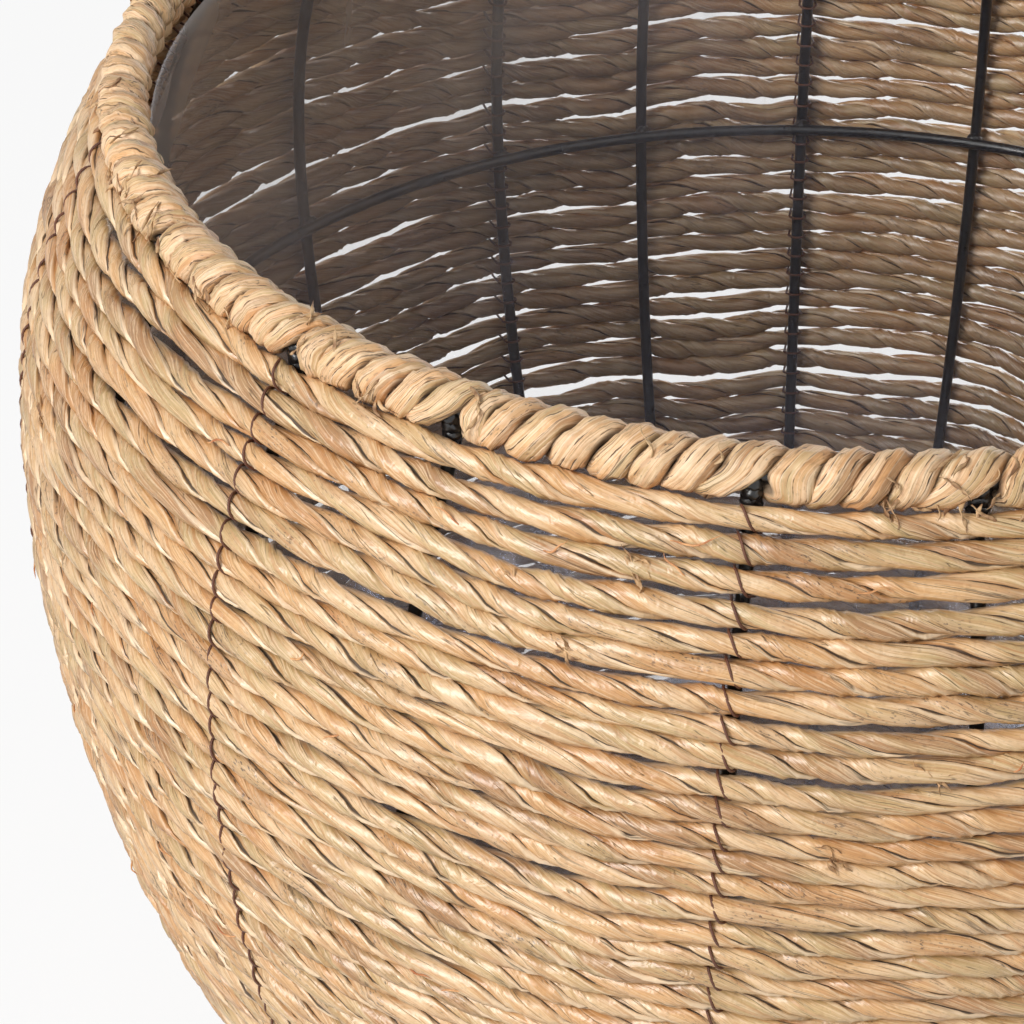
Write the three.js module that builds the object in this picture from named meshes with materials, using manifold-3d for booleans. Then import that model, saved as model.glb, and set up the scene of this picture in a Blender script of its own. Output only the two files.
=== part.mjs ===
// Belly-shaped planter basket: courses of twisted leaf rope stitched to a frame of black wire,
// a rim wrapped in leaf bundles and a clear film liner.
// Millimetres, +Z up, standing on z = 0, centred on the Z axis.
import * as THREE from 'three';
import { mergeVertices } from 'three/addons/utils/BufferGeometryUtils.js';
import Module from 'manifold-3d';

const wasm = await Module();
wasm.setup();

// Rim
const RIM_RADIUS = 214;            // centre line of the top ring
const RIM_HEIGHT = 360;            // centre line of the top ring above the floor
const RIM_WIRE = 6;                // diameter of the top ring's wire
const WRAP_THICKNESS = 3.9;        // leaf bundles wound on the top ring
const WRAP_PARTING = 6;            // width of the parting in the wrap where a rib comes up

// Wall of rope courses, measured on its outer surface
const MOUTH_OVERHANG = 8.5;        // top edge of the first course outside the top ring's centre line
const MOUTH_DROP = 3.5;            // top edge of the first course below the top ring's centre
const MOUTH_LEAN = 32;             // degrees that the wall leans out at the mouth
const BELLY_RADIUS = 251.5;        // widest place
const BELLY_HEIGHT = 249.5;        // height of the widest place
const FOOT_RADIUS = 165;           // where the wall meets the floor
const FOOT_LEAN = 44;              // degrees that the wall draws in at the foot
const ROPE_DIAMETER = 8;
const ROPE_GROOVE = 2.2;           // depth of the groove between two courses

// How far each end of the wall's curve keeps its own direction, as shares of the stretch's height
const MOUTH_PULL = 0.31;
const SHOULDER_PULL = 0.49;
const FLANK_PULL = 0.27;
const FOOT_PULL = 0.36;

// Wire frame
const RIB_WIRE = 4;
const HOOP_WIRE = 4;
const BAR_WIRE = 4;
const HOOP_HEIGHT = 218;           // centre line of the belly hoop above the floor
const RIB_COUNT = 22;
const FIRST_RIB = 8.3;             // degrees from the front, towards +X
// Degrees by which the hand-set ribs stand off an even spacing, going round towards -X
const RIB_OFFSETS = [
  1.7, 3.1, -2.1, 0.1, -1.8, -2, -3, -3.5, -5, -9, -6, -4, -3, -2.5, -2, -1.5, -1, 0, 0, 0, 0.5, 1,
];

// Stitching
const STITCHED_EVERY = 2;          // every second rib carries a column of stitches
const THREAD_BAND_WIDTH = 3;
const THREAD = 1;

// Base and liner
const BASE_THICKNESS = 8;          // flat coil of the same rope
const FILM = 1;                    // liner film, with the creases that stiffen it

// Clearances between neighbours
const SEAT_GAP = 0.3;
const BEND_ALLOWANCE = 0.5;        // extra where a straight step of one curve passes another curve
const CUT_OVERRUN = 1;             // how far a cutting block runs past what it cuts

// Fineness of the solids
const ROUND_SIDES = 32;            // flat sides of everything that goes round the basket
const WIRE_SIDES = 6;
const RING_WIRE_SIDES = 8;
const WRAP_SIDES = 10;
const RIB_STEPS = 12;
const BAND_STEPS = 16;
const WALL_INSIDE_STEPS = 13;
const LINER_STEPS = 10;

const LEAF = { color: 0xb39a6b, roughness: 0.7, metalness: 0 };
const LEAF_WRAP = { color: 0xbca475, roughness: 0.62, metalness: 0 };
const BLACK_PAINT = { color: 0x0c0c0d, roughness: 0.3, metalness: 0.1 };
const BROWN_THREAD = { color: 0x4a3524, roughness: 0.6, metalness: 0 };
const CLEAR_FILM = { color: 0xd9dde0, roughness: 0.15, metalness: 0, transparent: true, opacity: 0.35 };

const basket = new THREE.Group();

function addPiece(name, geometry, finish) {
  const piece = new THREE.Mesh(geometry, new THREE.MeshStandardMaterial(finish));
  piece.name = name;
  basket.add(piece);
  return piece;
}

const radians = THREE.MathUtils.degToRad;
const mouthRadius = RIM_RADIUS + MOUTH_OVERHANG;
const wrapRadius = RIM_WIRE / 2 + WRAP_THICKNESS;

// The wall's outer curve in a plane through the axis: x is the radius, y the height
function wallCurve() {
  const mouth = new THREE.Vector2(mouthRadius, RIM_HEIGHT - MOUTH_DROP);
  const belly = new THREE.Vector2(BELLY_RADIUS, BELLY_HEIGHT);
  const foot = new THREE.Vector2(FOOT_RADIUS, 0);
  const shoulderRise = mouth.y - belly.y;
  const flankRise = belly.y - foot.y;
  const mouthWay = new THREE.Vector2(Math.sin(radians(MOUTH_LEAN)), -Math.cos(radians(MOUTH_LEAN)));
  const footWay = new THREE.Vector2(Math.sin(radians(FOOT_LEAN)), Math.cos(radians(FOOT_LEAN)));
  const shoulder = new THREE.CubicBezierCurve(
    mouth,
    mouthWay.multiplyScalar(MOUTH_PULL * shoulderRise).add(mouth),
    new THREE.Vector2(belly.x, belly.y + SHOULDER_PULL * shoulderRise),
    belly,
  );
  const flank = new THREE.CubicBezierCurve(
    belly,
    new THREE.Vector2(belly.x, belly.y - FLANK_PULL * flankRise),
    footWay.multiplyScalar(FOOT_PULL * flankRise).add(foot),
    foot,
  );
  const path = new THREE.CurvePath();
  path.add(shoulder);
  path.add(flank);
  return path;
}

const wall = wallCurve();
const wallLength = wall.getLength();
const courseCount = Math.round(wallLength / ROPE_DIAMETER);

// A point at a share of the wall's length below the mouth, and at a depth inside its outer surface
function wallPoint(share, depth) {
  const point = wall.getPointAt(share);
  const down = wall.getTangentAt(share);
  return new THREE.Vector2(point.x + depth * down.y, point.y - depth * down.x);
}

// The share of the wall's length at which the curve at this depth passes a height
function shareAtHeight(depth, height) {
  let upper = 0;
  let lower = 1;
  for (let halving = 0; halving < 30; halving += 1) {
    const middle = (upper + lower) / 2;
    if (wallPoint(middle, depth).y > height) {
      upper = middle;
    } else {
      lower = middle;
    }
  }
  return (upper + lower) / 2;
}

// Points of the curve at one depth, from the mouth down to a share of the wall's length
function wallPoints(depth, endShare, steps) {
  const points = [];
  for (let step = 0; step <= steps; step += 1) {
    points.push(wallPoint((endShare * step) / steps, depth));
  }
  return points;
}

// A round piece from its section, which runs anticlockwise and ends where it starts or on the axis
function turned(section) {
  const geometry = new THREE.LatheGeometry(section, ROUND_SIDES);
  geometry.rotateX(Math.PI / 2);
  return geometry;
}

function closed(section) {
  return [...section, section[0].clone()];
}

function circle(centreX, centreY, radius, sides) {
  const points = [];
  for (let side = 0; side < sides; side += 1) {
    const angle = (2 * Math.PI * (side + 0.5)) / sides;
    points.push(new THREE.Vector2(centreX + radius * Math.cos(angle), centreY + radius * Math.sin(angle)));
  }
  return points;
}

function wireRing(radius, height, diameter, sides) {
  return turned(closed(circle(radius, height, diameter / 2, sides)));
}

// How much nearer to the axis a flat-sided round piece lies at an azimuth than at its corners
function flatness(azimuth) {
  const side = (2 * Math.PI) / ROUND_SIDES;
  const along = THREE.MathUtils.euclideanModulo(azimuth, side);
  return Math.cos(side / 2) / Math.cos(along - side / 2);
}

// A place at an azimuth from the front, -Y, going round towards +X
function place(radius, azimuth, height) {
  return new THREE.Vector3(radius * Math.sin(azimuth), -radius * Math.cos(azimuth), height);
}

// A path from station to station in a plane through the axis, however unevenly they are spaced.
// A section's x lies along the basket's round and its y across the path.
class RadialPath extends THREE.Curve {
  constructor(points, azimuth) {
    super();
    const near = flatness(azimuth);
    this.stations = points.map((point) => place(point.x * near, azimuth, point.y));
    this.across = new THREE.Vector3(Math.cos(azimuth), Math.sin(azimuth), 0);
  }

  get steps() {
    return this.stations.length - 1;
  }

  getPoint(share) {
    const way = share * this.steps;
    const from = Math.min(Math.floor(way), this.steps - 1);
    return this.stations[from].clone().lerp(this.stations[from + 1], way - from);
  }

  getPointAt(share) {
    return this.getPoint(share);
  }

  getTangentAt(share) {
    return this.getTangent(share);
  }

  computeFrenetFrames(segments) {
    const tangents = [];
    for (let step = 0; step <= segments; step += 1) {
      tangents.push(this.getTangentAt(step / segments));
    }
    const normals = tangents.map(() => this.across);
    const binormals = tangents.map((tangent) => tangent.clone().cross(this.across));
    return { tangents, normals, binormals };
  }
}

function swept(points, azimuth, section) {
  const extrudePath = new RadialPath(points, azimuth);
  const settings = { steps: extrudePath.steps, extrudePath, bevelEnabled: false };
  return new THREE.ExtrudeGeometry(new THREE.Shape(section), settings);
}

function toManifold(geometry) {
  const bare = geometry.clone();
  bare.deleteAttribute('normal');
  bare.deleteAttribute('uv');
  const merged = mergeVertices(bare, 1e-3);
  return new wasm.Manifold(new wasm.Mesh({
    numProp: 3,
    vertProperties: merged.attributes.position.array,
    triVerts: Uint32Array.from(merged.index.array),
  }));
}

function fromManifold(solid) {
  const mesh = solid.getMesh();
  const geometry = new THREE.BufferGeometry();
  geometry.setAttribute('position', new THREE.BufferAttribute(mesh.vertProperties, 3));
  geometry.setIndex(new THREE.BufferAttribute(mesh.triVerts, 1));
  geometry.computeVertexNormals();
  return geometry;
}

// Depths of the layers inside the wall's outer surface, from the ropes inwards
const ribDepth = ROPE_DIAMETER + SEAT_GAP + BEND_ALLOWANCE + RIB_WIRE / 2;
const hoopDepth = ribDepth + RIB_WIRE / 2 + SEAT_GAP + BEND_ALLOWANCE + HOOP_WIRE / 2;
const linerDepth = hoopDepth + HOOP_WIRE / 2 + SEAT_GAP;

// Heights of the layers on the base, from the rope coil upwards
const lowerBarHeight = BASE_THICKNESS + SEAT_GAP + BAR_WIRE / 2;
const upperBarHeight = lowerBarHeight + BAR_WIRE + SEAT_GAP;
const linerFloor = upperBarHeight + BAR_WIRE / 2 + SEAT_GAP;

const footInside = FOOT_RADIUS - ROPE_DIAMETER / Math.cos(radians(FOOT_LEAN));
const ribEnd = wallPoint(shareAtHeight(ribDepth, lowerBarHeight), ribDepth);

function ribAzimuth(rib) {
  const evenly = FIRST_RIB - (rib * 360) / RIB_COUNT;
  return radians(evenly + RIB_OFFSETS[rib % RIB_OFFSETS.length]);
}

function ropeWall() {
  const outside = [];
  for (let half = 0; half <= 2 * courseCount; half += 1) {
    const depth = half % 2 === 0 ? ROPE_GROOVE : 0;
    outside.push(wallPoint(half / (2 * courseCount), depth));
  }
  const lastShare = shareAtHeight(ROPE_DIAMETER, ROPE_DIAMETER / 2);
  const inside = wallPoints(ROPE_DIAMETER, lastShare, WALL_INSIDE_STEPS);
  inside.push(new THREE.Vector2(footInside, 0));
  outside[outside.length - 1].set(FOOT_RADIUS - ROPE_GROOVE, 0);
  return turned(closed([...outside.reverse(), ...inside]));
}

function ropeBase() {
  const edge = footInside - 2 * SEAT_GAP;
  const round = BASE_THICKNESS / 4;
  return turned([
    new THREE.Vector2(0, 0),
    new THREE.Vector2(edge - round, 0),
    new THREE.Vector2(edge, round),
    new THREE.Vector2(edge, BASE_THICKNESS - round),
    new THREE.Vector2(edge - round, BASE_THICKNESS),
    new THREE.Vector2(0, BASE_THICKNESS),
  ]);
}

function rimWrap() {
  const boreRadius = (RIM_WIRE / 2 + SEAT_GAP) / Math.cos(Math.PI / RING_WIRE_SIDES);
  let solid = toManifold(turned(closed(circle(RIM_RADIUS, RIM_HEIGHT, wrapRadius, WRAP_SIDES))));
  solid = solid.subtract(toManifold(wireRing(RIM_RADIUS, RIM_HEIGHT, 2 * boreRadius, RING_WIRE_SIDES)));
  const partingInside = RIM_RADIUS - RIB_WIRE / 2 - 2 * SEAT_GAP;
  const partingOutside = RIM_RADIUS + wrapRadius + CUT_OVERRUN;
  const partingDepth = wrapRadius + CUT_OVERRUN;
  for (let rib = 0; rib < RIB_COUNT; rib += 1) {
    const azimuth = ribAzimuth(rib);
    const near = flatness(azimuth);
    const parting = new THREE.BoxGeometry(WRAP_PARTING, partingOutside - partingInside, partingDepth);
    parting.rotateZ(azimuth);
    const middle = place(((partingInside + partingOutside) / 2) * near, azimuth, RIM_HEIGHT - partingDepth / 2);
    parting.translate(middle.x, middle.y, middle.z);
    solid = solid.subtract(toManifold(parting));
  }
  return fromManifold(solid);
}

function frameRib(azimuth) {
  const endShare = shareAtHeight(ribDepth, lowerBarHeight);
  const points = wallPoints(ribDepth, endShare, RIB_STEPS);
  const top = new THREE.Vector2(RIM_RADIUS, RIM_HEIGHT - RIM_WIRE / 2 - SEAT_GAP);
  return swept([top, ...points], azimuth, circle(0, 0, RIB_WIRE / 2, WIRE_SIDES));
}

// A column of thread over the crowns of the courses
function stitchColumn(azimuth) {
  const depth = -(SEAT_GAP + BEND_ALLOWANCE + THREAD / 2);
  const firstCrown = 0.5 / courseCount;
  const lastCrown = 1 - 1.5 / courseCount;
  const points = [];
  for (let step = 0; step <= BAND_STEPS; step += 1) {
    points.push(wallPoint(THREE.MathUtils.lerp(firstCrown, lastCrown, step / BAND_STEPS), depth));
  }
  const halfWidth = THREAD_BAND_WIDTH / 2;
  const halfThread = THREAD / 2;
  const band = [
    new THREE.Vector2(-halfWidth, -halfThread),
    new THREE.Vector2(halfWidth, -halfThread),
    new THREE.Vector2(halfWidth, halfThread),
    new THREE.Vector2(-halfWidth, halfThread),
  ];
  return swept(points, azimuth, band);
}

function filmLiner() {
  const outerEnd = shareAtHeight(linerDepth, linerFloor);
  const innerEnd = shareAtHeight(linerDepth + FILM, linerFloor + FILM);
  const outside = wallPoints(linerDepth, outerEnd, LINER_STEPS);
  const inside = wallPoints(linerDepth + FILM, innerEnd, LINER_STEPS);
  const reach = wrapRadius + SEAT_GAP;
  const aside = RIM_RADIUS - outside[0].x;
  const lip = RIM_HEIGHT - Math.sqrt(Math.max(0, reach ** 2 - aside ** 2));
  return turned([
    new THREE.Vector2(0, linerFloor),
    ...outside.reverse(),
    new THREE.Vector2(outside[outside.length - 1].x, lip),
    new THREE.Vector2(inside[0].x, lip),
    ...inside,
    new THREE.Vector2(0, linerFloor + FILM),
  ]);
}

addPiece('rope_wall', ropeWall(), LEAF);
addPiece('rope_base', ropeBase(), LEAF);
addPiece('rim_wrap', rimWrap(), LEAF_WRAP);
addPiece('film_liner', filmLiner(), CLEAR_FILM);
addPiece('top_ring', wireRing(RIM_RADIUS, RIM_HEIGHT, RIM_WIRE, RING_WIRE_SIDES), BLACK_PAINT);

const hoopRadius = wallPoint(shareAtHeight(hoopDepth, HOOP_HEIGHT), hoopDepth).x;
addPiece('belly_hoop', wireRing(hoopRadius, HOOP_HEIGHT, HOOP_WIRE, WIRE_SIDES), BLACK_PAINT);

// The base ring touches the inner corner of the ribs' ends
const cornerIn = (RIB_WIRE / 2) * Math.cos(radians(FOOT_LEAN));
const cornerUp = (RIB_WIRE / 2) * Math.sin(radians(FOOT_LEAN));
const ringReach = HOOP_WIRE / 2 + SEAT_GAP;
const baseRingRadius = ribEnd.x - cornerIn - Math.sqrt(Math.max(0, ringReach ** 2 - cornerUp ** 2));
addPiece('base_ring', wireRing(baseRingRadius, lowerBarHeight, HOOP_WIRE, WIRE_SIDES), BLACK_PAINT);

// The lower bar fits between the base ring's sides, and the upper one lies on it and on the ring
function baseBar(name, length, height, turn) {
  const wire = new THREE.CylinderGeometry(BAR_WIRE / 2, BAR_WIRE / 2, length, RING_WIRE_SIDES);
  const bar = addPiece(name, wire, BLACK_PAINT);
  bar.rotation.z = turn;
  bar.position.z = height;
}

baseBar('base_bar_lower', 2 * (baseRingRadius - HOOP_WIRE / 2 - SEAT_GAP), lowerBarHeight, Math.PI / 2);
baseBar('base_bar_upper', 2 * baseRingRadius, upperBarHeight, 0);

for (let rib = 0; rib < RIB_COUNT; rib += 1) {
  const number = String(rib + 1).padStart(2, '0');
  addPiece(`rib_${number}`, frameRib(ribAzimuth(rib)), BLACK_PAINT);
}

for (let column = 0; column * STITCHED_EVERY + 1 < RIB_COUNT; column += 1) {
  const number = String(column + 1).padStart(2, '0');
  const rib = column * STITCHED_EVERY + 1;
  addPiece(`stitch_column_${number}`, stitchColumn(ribAzimuth(rib)), BROWN_THREAD);
}

export default basket;
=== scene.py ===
"""Belly-shaped planter basket: twisted leaf rope stitched to a black wire frame, with a wound rim
and a clear film liner. It is laid out as an add-on with one operator for each group of pieces, and
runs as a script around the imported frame."""
import math

import bpy
import numpy as np
from bpy.props import FloatProperty, FloatVectorProperty, IntProperty, PointerProperty
from mathutils import Matrix, Vector


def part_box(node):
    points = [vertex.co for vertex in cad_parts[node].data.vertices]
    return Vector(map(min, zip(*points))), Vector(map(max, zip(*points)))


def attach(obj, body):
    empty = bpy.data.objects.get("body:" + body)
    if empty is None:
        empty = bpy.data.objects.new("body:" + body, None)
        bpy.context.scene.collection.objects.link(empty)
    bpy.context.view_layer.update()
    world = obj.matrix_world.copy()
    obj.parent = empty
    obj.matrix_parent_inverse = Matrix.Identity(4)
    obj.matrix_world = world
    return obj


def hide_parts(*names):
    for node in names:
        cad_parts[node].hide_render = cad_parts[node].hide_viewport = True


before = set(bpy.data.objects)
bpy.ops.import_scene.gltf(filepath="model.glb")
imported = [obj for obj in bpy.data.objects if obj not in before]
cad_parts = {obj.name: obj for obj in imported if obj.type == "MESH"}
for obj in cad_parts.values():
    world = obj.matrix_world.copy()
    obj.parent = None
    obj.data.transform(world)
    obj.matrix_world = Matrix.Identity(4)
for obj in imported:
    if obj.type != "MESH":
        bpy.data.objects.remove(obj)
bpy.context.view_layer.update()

bl_info = {
    "name": "Rope planter basket",
    "version": (1, 0, 0),
    "blender": (4, 5, 0),
    "location": "View3D > Sidebar > Basket",
    "description": "Builds a round basket of twisted leaf rope on a wire frame",
    "category": "Add Mesh",
}

MM = 0.001
TURN = 2 * math.pi

# Rim: the ring's centre line, its wire and the leaf bundles wound on it
RIM_RADIUS = 214 * MM
RIM_HEIGHT = 360 * MM
RIM_WIRE = 6 * MM
WRAP_THICKNESS = 3.9 * MM

# The wall's outer surface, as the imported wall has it
MOUTH_RADIUS = 222.5 * MM
MOUTH_DROP = 3.5 * MM
MOUTH_LEAN = math.radians(32)
BELLY_RADIUS = 251.5 * MM
BELLY_HEIGHT = 249.5 * MM
FOOT_RADIUS = 165 * MM
FOOT_LEAN = math.radians(44)
MOUTH_PULL, SHOULDER_PULL, FLANK_PULL, FOOT_PULL = 0.31, 0.49, 0.27, 0.36
ROPE_DIAMETER = 8 * MM

# Frame: layers inside the ropes, and heights of the wires on the base
SEAT_GAP = 0.3 * MM
BEND_ALLOWANCE = 0.5 * MM
FRAME_WIRE = 4 * MM
RIB_DEPTH = ROPE_DIAMETER + SEAT_GAP + BEND_ALLOWANCE + FRAME_WIRE / 2
HOOP_DEPTH = RIB_DEPTH + FRAME_WIRE + SEAT_GAP + BEND_ALLOWANCE
LINER_DEPTH = HOOP_DEPTH + FRAME_WIRE / 2 + SEAT_GAP
HOOP_HEIGHT = 218 * MM
BASE_THICKNESS = 8 * MM
LOWER_BAR_HEIGHT = BASE_THICKNESS + SEAT_GAP + FRAME_WIRE / 2
LINER_FLOOR = LOWER_BAR_HEIGHT + FRAME_WIRE + SEAT_GAP + FRAME_WIRE / 2 + SEAT_GAP

# Ribs: an even spacing from the first rib, and how far each rib stands off it, in degrees
RIB_COUNT = 22
FIRST_RIB = 8.3
RIB_OFFSETS = (
    1.7, 3.1, -2.1, 0.1, -1.8, -2, -3, -3.5, -5, -9, -6,
    -4, -3, -2.5, -2, -1.5, -1, 0, 0, 0, 0.5, 1,
)
RIB_AZIMUTHS = [
    math.radians(FIRST_RIB - number * 360 / RIB_COUNT + offset)
    for number, offset in enumerate(RIB_OFFSETS)
]
STITCHED_RIBS = RIB_AZIMUTHS[1::2]

# The rope runs level and steps down by one course in a short climb on the right-hand side
CLIMB_END = math.radians(110)
CLIMB_SHARE = 40 / 360

# Camera: found from the rim, the ribs and the courses of the photograph, in rim radii and degrees
CAMERA_DISTANCE = 5.195
CAMERA_RISE = 27.23
CAMERA_PAN = 5.81
CAMERA_TILT = -6.76
CAMERA_ROLL = -0.27
FOCAL_PIXELS = 3726
IMAGE_PIXELS = 1024
SENSOR_MM = 36

# Lamps: where each stands, its size, its power in watts and its colour
LAMP_AIM = (0, 0, 0.25)
LAMPS = {
    "key softbox": ((-1.7, -1.9, 1.72), (1.3, 1.5), 75, (1.0, 0.98, 0.95)),
    "top softbox": ((-0.8, -0.9, 2.3), (1.3, 1.3), 8, (1.0, 1.0, 1.0)),
    "right softbox": ((2.1, -1.6, 1.0), (1.4, 1.4), 9, (1.0, 0.88, 0.70)),
    "back softbox": ((0.8, 2.6, 0.5), (1.8, 1.0), 28, (1.0, 1.0, 1.0)),
}

# Floor and surroundings: a pale floor that looks bright, and a white world that gives little light
FLOOR_REACH = 6.0
FLOOR_COLOUR = (0.86, 0.86, 0.87, 1.0)
FLOOR_BRIGHTNESS = 0.86
WHITE = (1.0, 1.0, 1.0, 1.0)
WORLD_LIGHT = 0.17


# Sizes and colours that a user would change

class RopeSettings(bpy.types.PropertyGroup):
    """The rope of the wall and of the base."""
    radius: FloatProperty(name="Rope radius", description="Half the rope's mean thickness",
                          default=3.60 * MM, min=0.001, unit="LENGTH")
    strands: IntProperty(name="Strands", description="Leaf strands twisted into the rope",
                         default=2, min=2, max=5)
    lay: FloatProperty(name="Lay length", description="Length of rope in which a strand goes round once",
                       default=48 * MM, min=0.01, unit="LENGTH")
    groove: FloatProperty(name="Groove depth", description="Depth of the groove between two strands",
                          default=0.75 * MM, min=0, unit="LENGTH")
    oval: FloatProperty(name="Oval", description="How much the strands stand out of the round section",
                        default=0.14, min=0, max=0.4)
    flat_lie: FloatProperty(name="Flat lie", description="How far the twist hurries past a strand's edge",
                            default=0.22, min=0, max=0.45)
    swelling: FloatProperty(name="Swelling", description="How much thicker or thinner a stretch of rope is",
                            default=0.10, min=0, max=0.3)
    lumps: FloatProperty(name="Lumps", description="How much a single strand swells or thins the rope",
                         default=0.13, min=0, max=0.3)
    gap: FloatProperty(name="Widest gap", description="Widest parting between two courses",
                       default=3.5 * MM, min=0, unit="LENGTH")
    colour: FloatVectorProperty(name="Leaf colour", description="Mean colour of the dry leaf",
                                subtype="COLOR", size=3, min=0, max=1, default=(0.668, 0.450, 0.228))
    seed: IntProperty(name="Seed", description="Seed of the rope's unevenness", default=7)


class RimSettings(bpy.types.PropertyGroup):
    """The leaf bundles wound on the top ring."""
    spacing: FloatProperty(name="Bundle spacing", description="Distance from bundle to bundle",
                           default=10.3 * MM, min=0.004, unit="LENGTH")
    slant: FloatProperty(name="Slant", description="Bundles that one turn round the ring moves on by",
                         default=1.8, min=0)
    parting: FloatProperty(name="Parting", description="How far the bundles beside a rib are pushed aside",
                           default=4.0 * MM, min=0, unit="LENGTH")
    colour: FloatVectorProperty(name="Bundle colour", description="Mean colour of the shredded leaf",
                                subtype="COLOR", size=3, min=0, max=1, default=(0.76, 0.518, 0.278))
    seed: IntProperty(name="Seed", description="Seed of the bundles' unevenness", default=3)


class WireSettings(bpy.types.PropertyGroup):
    """The painted wire frame and the sewing thread."""
    bead: FloatProperty(name="Weld bead", description="Radius of a weld where two wires cross",
                        default=3.3 * MM, min=0, unit="LENGTH")
    thread: FloatProperty(name="Thread", description="Diameter of the sewing thread",
                          default=0.85 * MM, min=0.0002, unit="LENGTH")
    stitch_lean: FloatProperty(name="Stitch lean", description="How far a stitch moves on across a rope",
                               default=4.0 * MM, unit="LENGTH")
    paint: FloatVectorProperty(name="Paint", description="Colour of the frame's paint", subtype="COLOR",
                               size=3, min=0, max=1, default=(0.006, 0.006, 0.007))


class FilmSettings(bpy.types.PropertyGroup):
    """The clear liner."""
    thickness: FloatProperty(name="Film thickness", description="Thickness of the liner film",
                             default=0.25 * MM, min=0.0001, unit="LENGTH")
    pleat: FloatProperty(name="Pleat depth", description="How far the pleats stand in from the frame",
                         default=4.0 * MM, min=0, unit="LENGTH")
    seed: IntProperty(name="Seed", description="Seed of the film's creases", default=11)


class BasketSettings(bpy.types.PropertyGroup):
    """All the basket's settings."""
    rope: PointerProperty(type=RopeSettings)
    rim: PointerProperty(type=RimSettings)
    wire: PointerProperty(type=WireSettings)
    film: PointerProperty(type=FilmSettings)


# Node trees, for shaders and for geometry alike

class Value:
    """A socket of a node tree. Arithmetic on it adds Math nodes, so a pattern reads as a formula."""

    def __init__(self, nodes, socket):
        self.nodes = nodes
        self.socket = socket

    def math(self, operation, *others):
        return self.nodes.add("ShaderNodeMath", {"operation": operation}, [self, *others])

    def __add__(self, other):
        return self.math("ADD", other)

    __radd__ = __add__

    def __sub__(self, other):
        return self.math("SUBTRACT", other)

    def __rsub__(self, other):
        return self.nodes.add("ShaderNodeMath", {"operation": "SUBTRACT"}, [other, self])

    def __mul__(self, other):
        return self.math("MULTIPLY", other)

    __rmul__ = __mul__

    def __truediv__(self, other):
        return self.math("DIVIDE", other)

    def __rtruediv__(self, other):
        return self.nodes.add("ShaderNodeMath", {"operation": "DIVIDE"}, [other, self])

    def __pow__(self, other):
        return self.math("POWER", other)

    def __mod__(self, other):
        return self.math("FLOORED_MODULO", other)

    def clamped(self):
        """The value held between 0 and 1."""
        return self.math("MAXIMUM", 0.0).math("MINIMUM", 1.0)

    def rising(self, low, high):
        """A smooth step from 0 at low to 1 at high; high may be the lower of the two."""
        share = ((self - low) / (high - low)).clamped()
        return share * share * (3.0 - 2.0 * share)


class Nodes:
    """Adds nodes to one tree."""

    def __init__(self, tree):
        self.tree = tree

    def add(self, kind, settings=None, inputs=None, output=0):
        """A node of that type: its settings are made, then its inputs are fed, by order or by name."""
        node = self.tree.nodes.new(kind)
        for name, value in (settings or {}).items():
            if name == "stops":
                self.set_stops(node.color_ramp, value)
            else:
                setattr(node, name, value)
        pairs = enumerate(inputs) if isinstance(inputs, (list, tuple)) else (inputs or {}).items()
        for key, value in pairs:
            self.feed(self.find(node.inputs, key), value)
        return Value(self, self.find(node.outputs, output))

    @staticmethod
    def find(sockets, key):
        if isinstance(key, int):
            return sockets[key]
        for socket in sockets:
            if socket.identifier == key:
                return socket
        return sockets[key]

    def feed(self, socket, value):
        if isinstance(value, Value):
            self.tree.links.new(value.socket, socket)
        else:
            socket.default_value = value

    @staticmethod
    def set_stops(ramp, stops):
        while len(ramp.elements) < len(stops):
            ramp.elements.new(0.5)
        for element, (position, colour) in zip(ramp.elements, stops):
            element.position = position
            element.color = (*colour, 1.0)

    def vector(self, x, y, z):
        return self.add("ShaderNodeCombineXYZ", {}, [x, y, z])

    def vector_math(self, operation, *values, output=0):
        return self.add("ShaderNodeVectorMath", {"operation": operation}, list(values), output)

    def scaled(self, vector, factor):
        inputs = {"Vector": vector, "Scale": factor}
        return self.add("ShaderNodeVectorMath", {"operation": "SCALE"}, inputs)

    def parts(self, vector):
        node = self.tree.nodes.new("ShaderNodeSeparateXYZ")
        self.tree.links.new(vector.socket, node.inputs[0])
        return [Value(self, socket) for socket in node.outputs]

    def noise(self, vector, scale=1.0, detail=2.0, roughness=0.5, distortion=0.0):
        """Noise from 0 to 1 at a vector."""
        inputs = {
            "Vector": vector, "Scale": scale, "Detail": detail,
            "Roughness": roughness, "Distortion": distortion,
        }
        return self.add("ShaderNodeTexNoise", {"noise_dimensions": "3D"}, inputs)

    def object_place(self):
        """The place on the piece, which is the place in the scene."""
        return self.add("ShaderNodeTexCoord", {}, {}, "Object")

    def bumped(self, height, strength, distance):
        """The surface's direction, tipped by a height."""
        inputs = {"Strength": strength, "Distance": distance, "Height": height}
        return self.add("ShaderNodeBump", {}, inputs)

    def colour_mix(self, factor, first, second, blend="MIX"):
        settings = {"data_type": "RGBA", "blend_type": blend}
        inputs = {"Factor_Float": factor, "A_Color": as_colour(first), "B_Color": as_colour(second)}
        return self.add("ShaderNodeMix", settings, inputs, "Result_Color")


def as_colour(value):
    return value if isinstance(value, Value) else (*value[:3], 1.0)


# Finishes

def new_material(name):
    material = bpy.data.materials.new(name)
    material.use_nodes = True
    material.node_tree.nodes.clear()
    return material, Nodes(material.node_tree)


def finish_material(nodes, shader):
    out = nodes.tree.nodes.new("ShaderNodeOutputMaterial")
    nodes.tree.links.new(shader.socket, out.inputs["Surface"])


def principled(nodes, inputs):
    return nodes.add("ShaderNodeBsdfPrincipled", {}, inputs)


def tinted(colour, red, green, blue):
    """The colour with each channel scaled, which keeps a family of tones tied to one colour."""
    return (min(1, colour[0] * red), min(1, colour[1] * green), min(1, colour[2] * blue))


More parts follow.
